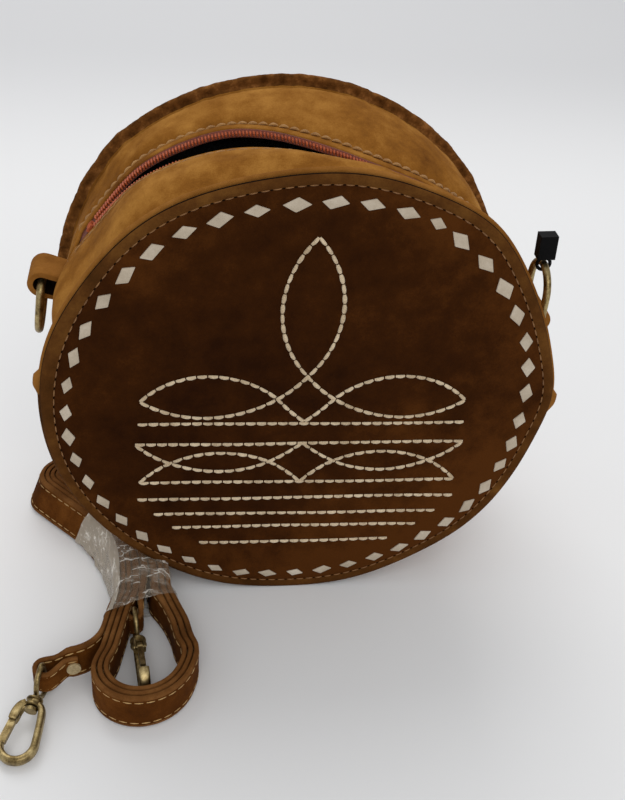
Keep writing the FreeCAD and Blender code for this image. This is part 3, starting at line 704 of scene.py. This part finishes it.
# Rows of sewing
sewing = {
    "seamPitch": 4.5, "seamDash": 3.1, "seamSize": (0.6, 0.5), "seamSunk": -0.4,
    "holeSize": (0.75, 0.4), "holeGap": 0.12, "zipPitch": 4.6, "zipDash": 4.5, "slant": 0.5, "zipTurn": 66.0,
    "front": (5.0, 0.72, 1.0), "back": (6.3, 1.2, 1.9),  # beside the zip: place, lift and width
}
# Needle holes: dark discs between the stitches, as painted shade
holes = Shape()
for name, side in sides:
    rows = Shape()
    ring = [panelPoint(side, panelCut["seam"], i / 2, sewing["seamSunk"]) for i in range(721)]
    dashes = walk(ring, sewing["seamPitch"], sewing["seamDash"])
    for a, b in dashes:
        rows.stitch(a, b, (0, side, 0), *sewing["seamSize"])
    for (_, a), (b, _) in zip(dashes, dashes[1:] + dashes[:1]):
        begin, end = a.lerp(b, sewing["holeGap"]), b.lerp(a, sewing["holeGap"])
        holes.stitch(begin, end, (0, side, 0), *sewing["holeSize"], 0.0, 6, (0.5, 1.0, 0.5))
    rows.piece(name + "SeamThread", "tan", "bag", "seam_thread", name + "_seam_thread")

    rows = Shape()
    row = []
    beside, lift, width = sewing[name]
    for angle in spread(zipCut["middle"] - sewing["zipTurn"], zipCut["middle"] + sewing["zipTurn"], 264):
        target = zipCut["y"] + side * (lens(*zipCut["slit"], angle - zipCut["middle"]) + beside)
        y, r = upperPoint(side, angle, target)
        row.append(rim(r + lift, angle, y))
    for a, b in walk(row, sewing["zipPitch"], sewing["zipDash"]):
        out = (a + b) / 2 - Vector((0, (a.y + b.y) / 2, bagAxis))
        tilt = Vector((0, sewing["slant"], 0))
        rows.stitch(a + tilt, b - tilt, out, width, width * 0.75, 0.35, 8, (0.35, 0.8, 1.0, 0.85, 0.4))
    rows.piece(name + "ZipThread", "zipCord", "bag", "seam_thread", "zip_thread_" + name)
holes.piece("needleHoles", "hole", "bag", "panel_suede")
print("sewing")

# Laced diamonds round the front
lacing = {
    "corner": 0.05, "uneven": (-0.02, 0.03), "grow": (1.09, 1.07),
    "section": ((1.0, 0.4), (1.0, -0.2), (0.96, -0.42), (0.85, -0.52), (0.5, -0.6), (0.1, -0.62)),  # share and Y
    "laced": (
        (3.6, 97.6, 4.6, -0.7, 0.8, 2.8), (11.5, 97.6, 4.6, -0.5, 0.6, 2.9), (19.4, 97.8, 4.4, -0.9, 0.6, 2.6),
        (27.9, 97.1, 4.9, -0.7, 0.6, 2.9), (36.4, 97.3, 5.2, -0.6, 1.0, 3.3), (45.2, 97.2, 5.0, -0.1, 0.3, 2.9),
        (54.2, 97.2, 5.0, -0.8, 0.3, 3.0), (61.4, 97.9, 3.5, 0.2, -0.6, 2.3), (68.9, 96.5, 4.7, 0.2, 0.3, 2.6),
        (77.5, 95.5, 4.7, 0.0, 0.7, 2.5), (86.0, 94.2, 4.9, 0.0, 1.6, 2.7), (94.8, 93.1, 5.1, -0.2, 0.6, 2.9),
        (104.1, 92.7, 4.6, -0.5, 0.2, 2.4), (112.9, 93.3, 4.9, -0.5, 1.4, 2.8), (121.5, 94.5, 4.6, -0.7, 0.8, 2.4),
        (130.5, 94.7, 4.9, -1.0, 2.1, 2.5), (139.3, 94.6, 5.0, -0.5, 1.5, 2.7), (148.0, 94.9, 4.2, -0.8, 1.0, 2.6),
        (156.9, 95.5, 4.6, -0.7, 1.2, 2.4), (165.1, 96.2, 4.7, -0.4, 1.4, 2.4), (173.2, 97.1, 3.9, -0.8, 0.5, 2.1),
        (181.2, 97.7, 3.8, -0.8, 0.8, 2.3), (188.4, 98.4, 4.4, -0.2, 0.7, 2.6), (195.7, 98.6, 3.9, -0.1, 0.5, 2.3),
        (203.5, 98.7, 3.9, -0.9, 1.3, 2.1), (211.0, 98.7, 4.2, -0.2, 1.3, 2.3), (218.6, 98.4, 4.0, -0.4, 0.9, 2.3),
        (226.4, 98.7, 4.0, -0.5, 0.6, 2.4), (234.1, 99.1, 4.0, -0.2, 1.3, 2.1), (241.8, 99.1, 3.7, -0.3, 1.1, 1.9),
        (249.5, 99.1, 3.5, -0.4, 0.9, 1.8), (256.9, 98.8, 3.8, 0.1, 1.3, 2.1), (264.2, 98.1, 4.1, -0.3, 0.5, 2.0),
        (271.9, 97.7, 3.6, -0.7, 1.1, 1.8), (279.6, 97.4, 4.2, -0.1, 1.0, 2.2), (287.1, 97.2, 3.8, -0.5, 0.8, 1.9),
        (294.8, 97.4, 3.9, -0.8, 0.8, 2.2), (302.3, 97.8, 4.2, -0.7, 1.1, 2.0), (309.8, 97.5, 4.2, -0.4, 0.7, 2.6),
        (317.5, 98.2, 3.9, -1.1, 1.2, 2.3), (325.0, 98.7, 4.6, -0.3, 1.1, 2.5), (332.5, 98.9, 4.5, 0.0, 0.3, 2.7),
        (340.3, 98.4, 4.0, -0.8, 0.2, 2.4), (347.6, 98.1, 4.3, -0.3, 0.5, 2.8), (355.1, 97.4, 4.2, -0.4, 0.2, 2.8),
    ),  # angle, radius, half length, tilt, skew, half height: laced by hand, so no two alike
}
laces = Shape()
for angle, radius, long, tilt, skew, high in lacing["laced"]:
    long, tilt = long * lacing["grow"][0], tilt * lacing["grow"][0]
    skew, high = skew * lacing["grow"][1], high * lacing["grow"][1]
    turn = math.radians(angle)
    along, outward = Vector((math.sin(turn), 0, -math.cos(turn))), Vector((math.cos(turn), 0, math.sin(turn)))
    x, _, z = rim(radius, angle, 0)
    middle = Vector((x, panelPoint(-1, radius, angle, 0.0)[1], z))
    corners = [Vector(p) for p in ((-long, -tilt), (skew, high), (long, tilt), (-skew, -high))]
    flat = []
    for k, corner in enumerate(corners):
        before, after = corners[k - 1], corners[(k + 1) % 4]
        cut = lacing["corner"] + chance.uniform(*lacing["uneven"])
        p, q = corner.lerp(before, cut), corner.lerp(after, cut)
        flat += [p, (p + q) * 0.25 + corner * 0.5, q]
    rings = []
    for share, y in lacing["section"]:
        rings.append([tuple(middle + (along * p.x + outward * p.y) * share + Vector((0, y, 0))) for p in flat])
    laces.loft(rings)
laces.piece("laceDiamonds", "lace", "bag", "lacing", "border_lacing")

# Boot stitch on the front
bootStitch = {
    "shift": 1.6, "pitch": 4.6, "dash": 4.05, "width": 1.7, "height": 1.1, "uneven": (0.88, 1.1),
    "shares": (0.62, 0.95, 1.0, 0.95, 0.66),
    "chains": (
        ((0.0, 79.5), (12.4, 48.5), (0.0, 15.3), (-12.0, 4.0), (-43.0, -5.7), (-57.0, -3.2), (-69.2, 3.0)),
        ((-69.2, 3.0), (-57.0, 12.0), (-41.0, 15.6), (-24.0, 12.0), (-12.0, 4.0), (-6.3, -2.4), (0.0, -8.0)),
        ((71.5, -19.4), (64.5, -25.6), (57.0, -29.7), (36.5, -34.5), (14.0, -29.3), (6.5, -24.6), (0.0, -19.4)),
        ((70.5, -40.7), (64.0, -34.3), (57.0, -29.7), (35.5, -24.3), (14.0, -29.3), (6.5, -34.5), (0.0, -40.7)),
    ),  # arcs end to end: every second point is the middle of one
    "lines": ((70.5, -8.8), (71.8, -19.4), (70.5, -40.7), (71.5, -50.0), (64.5, -59.1), (56.4, -67.0), (44.2, -76.5)),
}


def curveThrough(a, b, c, steps=24):
    a, b, c = (Vector((*p, 0.0)) for p in (a, b, c))
    ab, ac = b - a, c - a
    normal = ab.cross(ac)
    toCentre = normal.cross(ab) * ac.length_squared + ac.cross(normal) * ab.length_squared
    toCentre /= 2 * normal.length_squared
    centre, radius = a + toCentre, toCentre.length
    first = math.atan2(a.y - centre.y, a.x - centre.x)
    last = math.atan2(c.y - centre.y, c.x - centre.x)
    hand = math.copysign(1, normal.z)
    turn = hand * (hand * (last - first) % (2 * math.pi))
    return [
        (centre.x + radius * math.cos(first + turn * s), centre.y + radius * math.sin(first + turn * s))
        for s in spread(0.0, 1.0, steps)
    ]


def onFront(x, z):
    x += bootStitch["shift"]
    radius, angle = math.hypot(x, z), math.degrees(math.atan2(z, x))
    return (x, panelPoint(-1, radius, angle, 0.0)[1], z + bagAxis)


boot = Shape()
lines = []
for chain in bootStitch["chains"]:
    for sign in (1, -1):
        flat = []
        for k in range(0, len(chain) - 1, 2):
            flat += curveThrough(*[(sign * x, z) for x, z in chain[k:k + 3]])[1 if flat else 0:]
        lines.append(flat)
for half, z in bootStitch["lines"]:
    lines.append([(x, z + 0.25 * math.sin(x / 23 + z)) for x in spread(-half, half, 60)])
for flat in lines:
    for a, b in walk([onFront(*p) for p in flat], bootStitch["pitch"], bootStitch["dash"]):
        width = bootStitch["width"] * chance.uniform(*bootStitch["uneven"])
        boot.stitch(a, b, (0, -1, 0), width, bootStitch["height"], 0.35, 8, bootStitch["shares"])
boot.piece("bootStitch", "cream", "bag", "cream_thread", "front_embroidery")
print("front pattern", len(lines))

# Leather tabs folded round the rings
tabCut = {
    "base": 103.0, "loop": 114.0, "bow": 4.6, "skin": 1.45, "turn": 84.0,
    "places": (("left", 162.5, -1), ("right", 8.7, 1)),
    # Feet, from side to side: place, height over the base and half thickness
    "seamFoot": (
        (-5.4, 1.0, 0.8), (-5.1, 1.4, 0.95), (-4.6, 2.6, 1.1), (-4.4, 4.6, 1.25), (-4.5, 7.0, 1.4), (-4.6, 9.4, 1.45),
    ),
    "zipFoot": (
        (4.6, 9.4, 1.45), (4.5, 7.0, 1.4), (4.5, 4.6, 1.3), (4.7, 2.6, 1.1), (5.2, 1.3, 0.8), (6.4, 0.7, 0.6),
    ),
    "slices": (
        (-9, 0.55), (-8.8, 0.25), (-8.3, 0.06), (-4, 0), (0, 0.03), (4, 0), (8.3, 0.06), (8.8, 0.25), (9, 0.55),
    ),  # along Y, and inset
}


def tabPath():
    c = tabCut

    def foot(rows):
        return [(v, math.sqrt((c["base"] + h) ** 2 - v * v), half) for v, h, half in rows]

    fold = []
    for turn in spread(-c["turn"], c["turn"], 16):
        a = math.radians(turn)
        fold.append((c["bow"] * math.sin(a), c["loop"] + c["bow"] * math.cos(a), c["skin"]))
    return foot(c["seamFoot"]) + fold + foot(c["zipFoot"])


for name, angle, hand in tabCut["places"]:
    tab = Shape()
    path = smoothed(tabPath())
    rings = []
    for y, inset in tabCut["slices"]:
        ring = []
        for v, u in outline([(v, u, half - inset * 0.7) for v, u, half in path]):
            turn = math.radians(angle) + hand * math.atan2(v, u)
            reach = math.hypot(u, v) + 0.12 * ripple(v / 3, y / 4, hand)
            ring.append((reach * math.cos(turn), y, bagAxis + reach * math.sin(turn)))
        rings.append(ring)
    tab.loft(rings, edge=range(len(path) + 3, 2 * len(path) + 4))  # painted shade: the inner side of the fold takes the near-black finish
    tab.piece(name + "Tab", "tab", "bag", "gusset_suede", name + "_tab", more=["hole"])
print("tabs")

# Shoulder strap on edge, wound into a hank
strapCut = {
    "width": 18.0, "thick": 2.15, "pitch": 2.5, "height": 9.7, "endWidth": 10.6, "loops": 4,
    "hank": (-66.0, -107.0), "heading": 8.0, "coil": 13.3, "neck": 43.0, "blend": 20.0,
    "waist": 116.0, "waistTurn": 28.8, "far": 4.0, "farNeck": 33.0,
    "bar": (-71.36, -77.86), "innerV": 29.6, "innerFold": 2.9, "innerTail": 5.0,
    "departGo": 18.7, "depart": 16.0, "outHeading": 100.0, "outLeg": 11.3,
    "outFold": 4.2, "converge": 40.0, "back": 5.0, "outTail": 3.2,
    "narrowIn": (15.0, 22.0), "narrowOut": (32.5, 39.5),  # folded ends that pass the hooks' eyes
    "stitchInset": 2.7, "stitchPitch": 4.8, "stitchDash": 3.5, "stitchSize": (0.85, 0.4),
    "section": (
        (1, 0), (1, 0.82), (0.93, 0.94), (0.68, 0.985), (0, 1), (-0.68, 0.985), (-0.93, 0.94), (-1, 0.82),
    ),
    "rawEdge": {*range(1, 7), *range(9, 15)},
}
strapCut["section"] += tuple((-s, -h) for s, h in strapCut["section"])


def headVec(heading):
    a = math.radians(heading)
    return Vector((-math.sin(a), math.cos(a), 0))


def sideVec(heading):
    a = math.radians(heading)
    return Vector((math.cos(a), math.sin(a), 0))


def taper(radius, neck, blend):
    lean = math.atan2(neck, blend) - math.acos((radius + blend) / math.hypot(neck, blend))
    return math.degrees(lean), (neck - (blend + radius) * math.sin(lean)) / math.cos(lean)


class Route:
    def __init__(self, point, heading):
        self.point, self.heading = point, heading
        self.marks = [(point.copy(), heading)]

    def go(self, length):
        steps = max(1, math.ceil(length / 2.0))
        start = self.point
        for t in spread(0.0, 1.0, steps)[1:]:
            self.marks.append((start + headVec(self.heading) * (length * t), self.heading))
        self.point = self.marks[-1][0]

    def bend(self, radius, turn):
        hand = -1 if turn > 0 else 1
        centre = self.point + sideVec(self.heading) * (hand * radius)
        steps = max(2, math.ceil(radius * math.radians(abs(turn)) / 1.6))
        start = self.heading
        for t in spread(0.0, 1.0, steps)[1:]:
            heading = start + turn * t
            self.marks.append((centre - sideVec(heading) * (hand * radius), heading))
        self.point, self.heading = self.marks[-1]


def strapRoute():
    c = strapCut
    lean, side = taper(c["coil"], c["neck"], c["blend"])
    farLean, farSide = taper(c["far"], c["farNeck"], c["blend"])
    tail = Vector((*c["bar"], 0)) - sideVec(c["heading"]) * c["innerFold"] + headVec(c["heading"]) * c["innerTail"]
    route = Route(tail, c["heading"] + 180.0)
    route.go(c["innerTail"])
    route.bend(c["innerFold"], 180.0)
    route.go(c["neck"] - c["innerV"])
    for i in range(c["loops"]):
        off = c["pitch"] * (i + 0.5)
        if i:
            route.bend(c["coil"] + off, lean)
            route.go(side)
            route.bend(c["blend"] - off, -lean)
        route.bend(c["waist"] + off, c["waistTurn"])
        route.bend(c["blend"] - off, -farLean)
        route.go(farSide)
        route.bend(c["far"] + off, 180.0 + 2 * farLean)
        route.go(farSide)
        route.bend(c["blend"] - off, -farLean)
        route.bend(c["waist"] - off, -c["waistTurn"])
        route.bend(c["blend"] - off, -lean)
        if i < c["loops"] - 1:
            route.go(side)
            route.bend(c["coil"] + off, lean)
            route.bend(c["coil"] + off + c["pitch"] / 2, 180.0)
    route.heading -= 360.0 * round((route.heading - c["heading"] - 180.0) / 360.0)
    route.go(c["departGo"])
    route.bend(c["depart"], c["outHeading"] - route.heading)
    route.go(c["outLeg"])
    route.bend(c["outFold"], 180.0 + c["converge"])
    turn = math.radians(c["converge"])
    drop = c["outFold"] * (1 + math.cos(turn)) - c["pitch"] - c["back"] * (1 - math.cos(turn))
    route.go(drop / math.sin(turn))
    route.bend(c["back"], -c["converge"])
    route.go(c["outTail"])
    return route.marks


marks = strapRoute()
run = lengths([point for point, _ in marks])


def strapWidth(distance):
    c = strapCut
    share = ease(*c["narrowIn"], distance) * ease(*c["narrowOut"], run[-1] - distance)
    return c["endWidth"] + (c["width"] - c["endWidth"]) * share


hankForm = {
    "middle": ((-107, -66), (-64.4, -72), (-36.3, -79.7), (-11.1, -94), (20, -117)),  # y and x down the hank
    "near": ((-132, -3.6), (-112, -2.6), (-98, 0)),
    "right": ((-98, 0), (-84, 3.4), (-66, 5), (-45, 3.5), (-20, 1), (0, 0)),
    "split": (-3.0, 7.0), "lean": 0.36, "leanFrom": (-80, -25),
    "firstFree": (12, 45), "lastFree": (30, 80),  # the two folded ends keep to their hooks
}


def leaned(x, y, z, share=1.0):  # the near loop sways, and the far end leans on the bag
    right = ease(*hankForm["split"], x - through(hankForm["middle"], y))
    sway = through(hankForm["near"], y) + right * through(hankForm["right"], y)
    return (x + share * sway + hankForm["lean"] * ease(*hankForm["leanFrom"], y) * z, y, z)


def onStrap(mark, distance, across, high):
    point, heading = mark
    at = point + sideVec(heading) * across
    height = strapCut["height"] + 0.35 * ripple(point.x / 21, point.y / 21, 2.2) + high
    share = ease(*hankForm["firstFree"], distance) * ease(*hankForm["lastFree"], run[-1] - distance)
    return leaned(at.x, at.y, height, share)


strap = Shape()
rings = []
for mark, distance in zip(marks, run):
    half, thick = strapWidth(distance) / 2, strapCut["thick"] / 2
    rings.append([onStrap(mark, distance, s * thick, h * half) for s, h in strapCut["section"]])
strap.loft(rings, edge=strapCut["rawEdge"])
strapPiece = strap.piece("strapHank", "strap", "strap_hank", "strap_suede", "strap", more=["strapEdge"])

seams = Shape()
for face in (1, -1):
    for edge in (1, -1):
        row = []
        for mark, distance in zip(marks, run):
            half = strapWidth(distance) * (0.5 - strapCut["stitchInset"] / strapCut["width"])
            row.append(onStrap(mark, distance, face * (strapCut["thick"] / 2 + 0.02), edge * half))
        count = max(1, round(run[-1] / strapCut["stitchPitch"]))
        for k, (a, b) in enumerate(walk(row, strapCut["stitchPitch"], strapCut["stitchDash"])):

            def apart(n):  # in space and along the strap
                return (Vector(row[n]) - a).length_squared + abs(n / len(row) - k / count) * 400

            i = min(range(len(row)), key=apart)
            seams.stitch(a, b, sideVec(marks[i][1]) * face, *strapCut["stitchSize"], 0.2, 5, (0.45, 1.0, 0.45))
strapSeams = seams.piece("strapSeams", "strapThread", "strap_hank", "strap_suede")
print("strap length", round(run[-1], 1))

# Clear film round the waist of the hank
filmCut = {
    "half": 10.45, "low": 0.12, "high": 20.0, "steps": 64, "around": 72, "power": 0.42, "skin": 0.1,
    "span": (-0.14, 1.0), "sideRows": range(23, 46),
}


def filmRing(t, skin):
    c, s = filmCut, strapCut
    turn = s["heading"] + s["waistTurn"] * t
    hank = Vector((*s["hank"], 0)) + headVec(s["heading"]) * s["neck"]
    centre = hank - sideVec(s["heading"]) * s["waist"]
    ring = []
    halfHigh, middle = (c["high"] - c["low"]) / 2, (c["high"] + c["low"]) / 2
    for a in circle(c["around"]):
        u = blunt(math.cos(a), c["power"]) * (c["half"] + 16 * max(0.0, -t))
        h = blunt(math.sin(a), c["power"]) * halfHigh
        rough = ripple(t * 9 + 2, u / 5, h / 5) + 0.6 * ripple(t * 26, u / 2.4 + 3, h / 2.4)
        ridge = abs(ripple(t * 5 + u / 18, h / 9 - t * 3, 5.5))
        swell = 0.3 + 0.55 * rough + 0.9 * ridge + 0.8 * (ease(-0.02, -0.14, t) + ease(0.88, 1.0, t))
        grow = 1 + (swell - skin) / 12
        lag = 0.11 * ease(1.0, -1.0, u / c["half"]) - 0.1 * max(0.0, -h / halfHigh)  # hangs lower on the left
        lag *= max(0.0, 1 - t) ** 2
        at = centre + sideVec(turn - s["waistTurn"] * lag) * (s["waist"] + u * grow)
        ring.append(leaned(at.x, at.y, max(middle + h * grow, 0.06 + skin)))
    return ring


film = Shape()
ts = [t + 0.015 * ripple(t * 3, 1, 1) for t in spread(*filmCut["span"], filmCut["steps"])]
shell = [filmRing(t, 0.0) for t in ts] + [filmRing(t, filmCut["skin"]) for t in reversed(ts)]
film.loft(shell, closeAlong=True, edge=filmCut["sideRows"])
filmPiece = film.piece("filmWrap", "film", "strap_hank", "film", "film_wrap", corner=60.0, more=["filmSide"])
print("film")

# Snap hooks: swivel barrel, round bow, and two cheeks for the gate; X runs from the bar to the bow
hookCut = {
    "half": 2.35, "bow": (32.0, 6.85), "tip": 80.0, "cheek": (1.9, 0.45), "power": 0.65,
    "barrel": (
        (11.4, 2.6), (11.7, 3.4), (12.4, 3.55), (12.8, 2.8), (13.8, 2.8), (14.2, 3.45), (15.0, 3.55), (15.4, 3.0),
        (15.4, 1.8), (11.4, 1.8),
    ),
    "stem": (
        (14.2, -2.6, 1.3), (15.6, -4.2, 1.5), (17.6, -4.95, 1.55), (21.0, -5.55, 1.5), (26.5, -6.3, 1.5),
        (31.0, -6.8, 1.55),
    ),
    "lug": ((14.2, 2.6, 1.3), (15.6, 4.3, 1.6), (17.8, 5.2, 1.75), (20.5, 5.5, 1.9), (22.4, 5.7, 1.6)),
    # Place of the bar, then yaw, pitch and roll
    "sets": (("outer", (-107.85, -106.41), -105.0, 9.8, 180.0), ("inner", strapCut["bar"], -82.0, 0.0, 90.0)),
}


def addBar(shape, path, middle, thick, put):
    rings = []
    for (x, y, half), (nx, ny) in zip(path, normals(path)):
        ring = []
        for a in circle(20):
            n = blunt(math.cos(a), hookCut["power"]) * half
            h = blunt(math.sin(a), hookCut["power"]) * thick
            ring.append(tuple(put @ Vector((x + nx * n, y + ny * n, middle + h))))
        rings.append(ring)
    shape.loft(rings)


for name, bar, yaw, pitch, roll in hookCut["sets"]:
    put = Matrix.Translation((*bar, strapCut["height"]))
    for degrees, axis in ((yaw, "Z"), (pitch, "Y"), (roll, "X")):
        put = put @ Matrix.Rotation(math.radians(degrees), 4, axis)
    hook = Shape()
    hook.loft([
        [tuple(put @ Vector((x, r * math.cos(a), r * math.sin(a)))) for a in circle(28)]
        for x, r in hookCut["barrel"]
    ], closeAlong=True)
    bowX, bowRadius = hookCut["bow"]
    path = list(hookCut["stem"])
    for a in spread(-88.0, hookCut["tip"], 22):
        turn = math.radians(a)
        path.append((bowX + bowRadius * math.cos(turn), bowRadius * math.sin(turn), 1.6 - 0.2 * ease(30, 80, a)))
    addBar(hook, smoothed(path), 0.0, hookCut["half"], put)
    middle, thick = hookCut["cheek"]
    for hand in (1, -1):
        addBar(hook, smoothed(hookCut["lug"]), hand * middle, thick, put)
    hook.piece(name + "Hook", "brass", "hook_" + name, "antique_brass", name + "_hook")
print("hooks")

# Finishes for the pieces that keep their machined shape
for finish, nodes in {
    "board": ("front_stiffener", "back_stiffener"), "teeth": ("zip_bottom_stop",), "black": ("tag_fastener",),
    "rivet": ("outer_rivet", "inner_rivet"),
    "brass": (
        "zip_slider", "zip_pull", "left_ring", "right_ring", "outer_eye", "outer_gate", "outer_gate_pin",
        "inner_eye", "inner_gate", "inner_gate_pin",
    ),
}.items():
    for node in nodes:
        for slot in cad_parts[node].material_slots:
            slot.material = finishes[finish]
print("metal and board")

# Floor, light and camera
studio = {
    "near": (236, 236, 236), "far": (211, 211, 212), "fade": (0.35, 0.8),
    "world": (240, 241, 243), "worldStrength": 0.6,
}
floorMesh = bpy.data.meshes.new("paleFloor")
floorMesh.from_pydata([(-4, -4, 0), (4, -4, 0), (4, 4, 0), (-4, 4, 0)], [], [(0, 1, 2, 3)])
floorFinish = Finish("paleFloor")
# painted light and shade: the floor is paler near the bag and greyer far off, in place of the lamps' fall-off
away = floorFinish.node("ShaderNodeSeparateXYZ", {}, {0: floorFinish.place}, "Y")
floorShade = floorFinish.mix(rgb(*studio["near"]), rgb(*studio["far"]), floorFinish.step(away, *studio["fade"]))
floorMesh.materials.append(floorFinish.surface(Base_Color=floorShade, Roughness=0.55))
floor = addObject("paleFloor", floorMesh)
floor.location.z = -0.0002

world = bpy.data.worlds.new("softRoom")
world.use_nodes = True
sky = world.node_tree.nodes["Background"]
sky.inputs["Color"].default_value = rgb(*studio["world"])
sky.inputs["Strength"].default_value = studio["worldStrength"]
scene.world = world

for name, spot, target, size, power in (
    ("windowBehind", (-0.1, 1.4, 2.0), (0, 0, 0.12), 1.8, 23.0),
    ("softFront", (0.15, -1.8, 1.9), (0, -0.05, 0.1), 1.9, 21.5),
):
    lamp = bpy.data.lights.new(name, "AREA")
    lamp.size = size
    lamp.energy = power
    lampObject = addObject(name, lamp)
    lampObject.location = spot
    lampObject.rotation_euler = (Vector(target) - Vector(spot)).to_track_quat("-Z", "Y").to_euler()

view = {
    "place": (-0.0546, -0.4075, 0.3655), "right": (0.9911, -0.1118, 0.0728),
    "up": (0.0057, 0.5807, 0.8141), "forward": (0.1333, 0.8064, -0.5761), "lens": 47.25,
}
lensData = bpy.data.cameras.new("photoView")
lensData.lens = view["lens"]
lensData.sensor_width = 36.0
camera = addObject("photoView", lensData)
axes = [Vector(view["right"]), Vector(view["up"]), -Vector(view["forward"])]
camera.matrix_world = Matrix.Translation(view["place"]) @ Matrix(axes).transposed().to_4x4()
scene.camera = camera
scene.view_settings.view_transform = "Standard"

print("done")
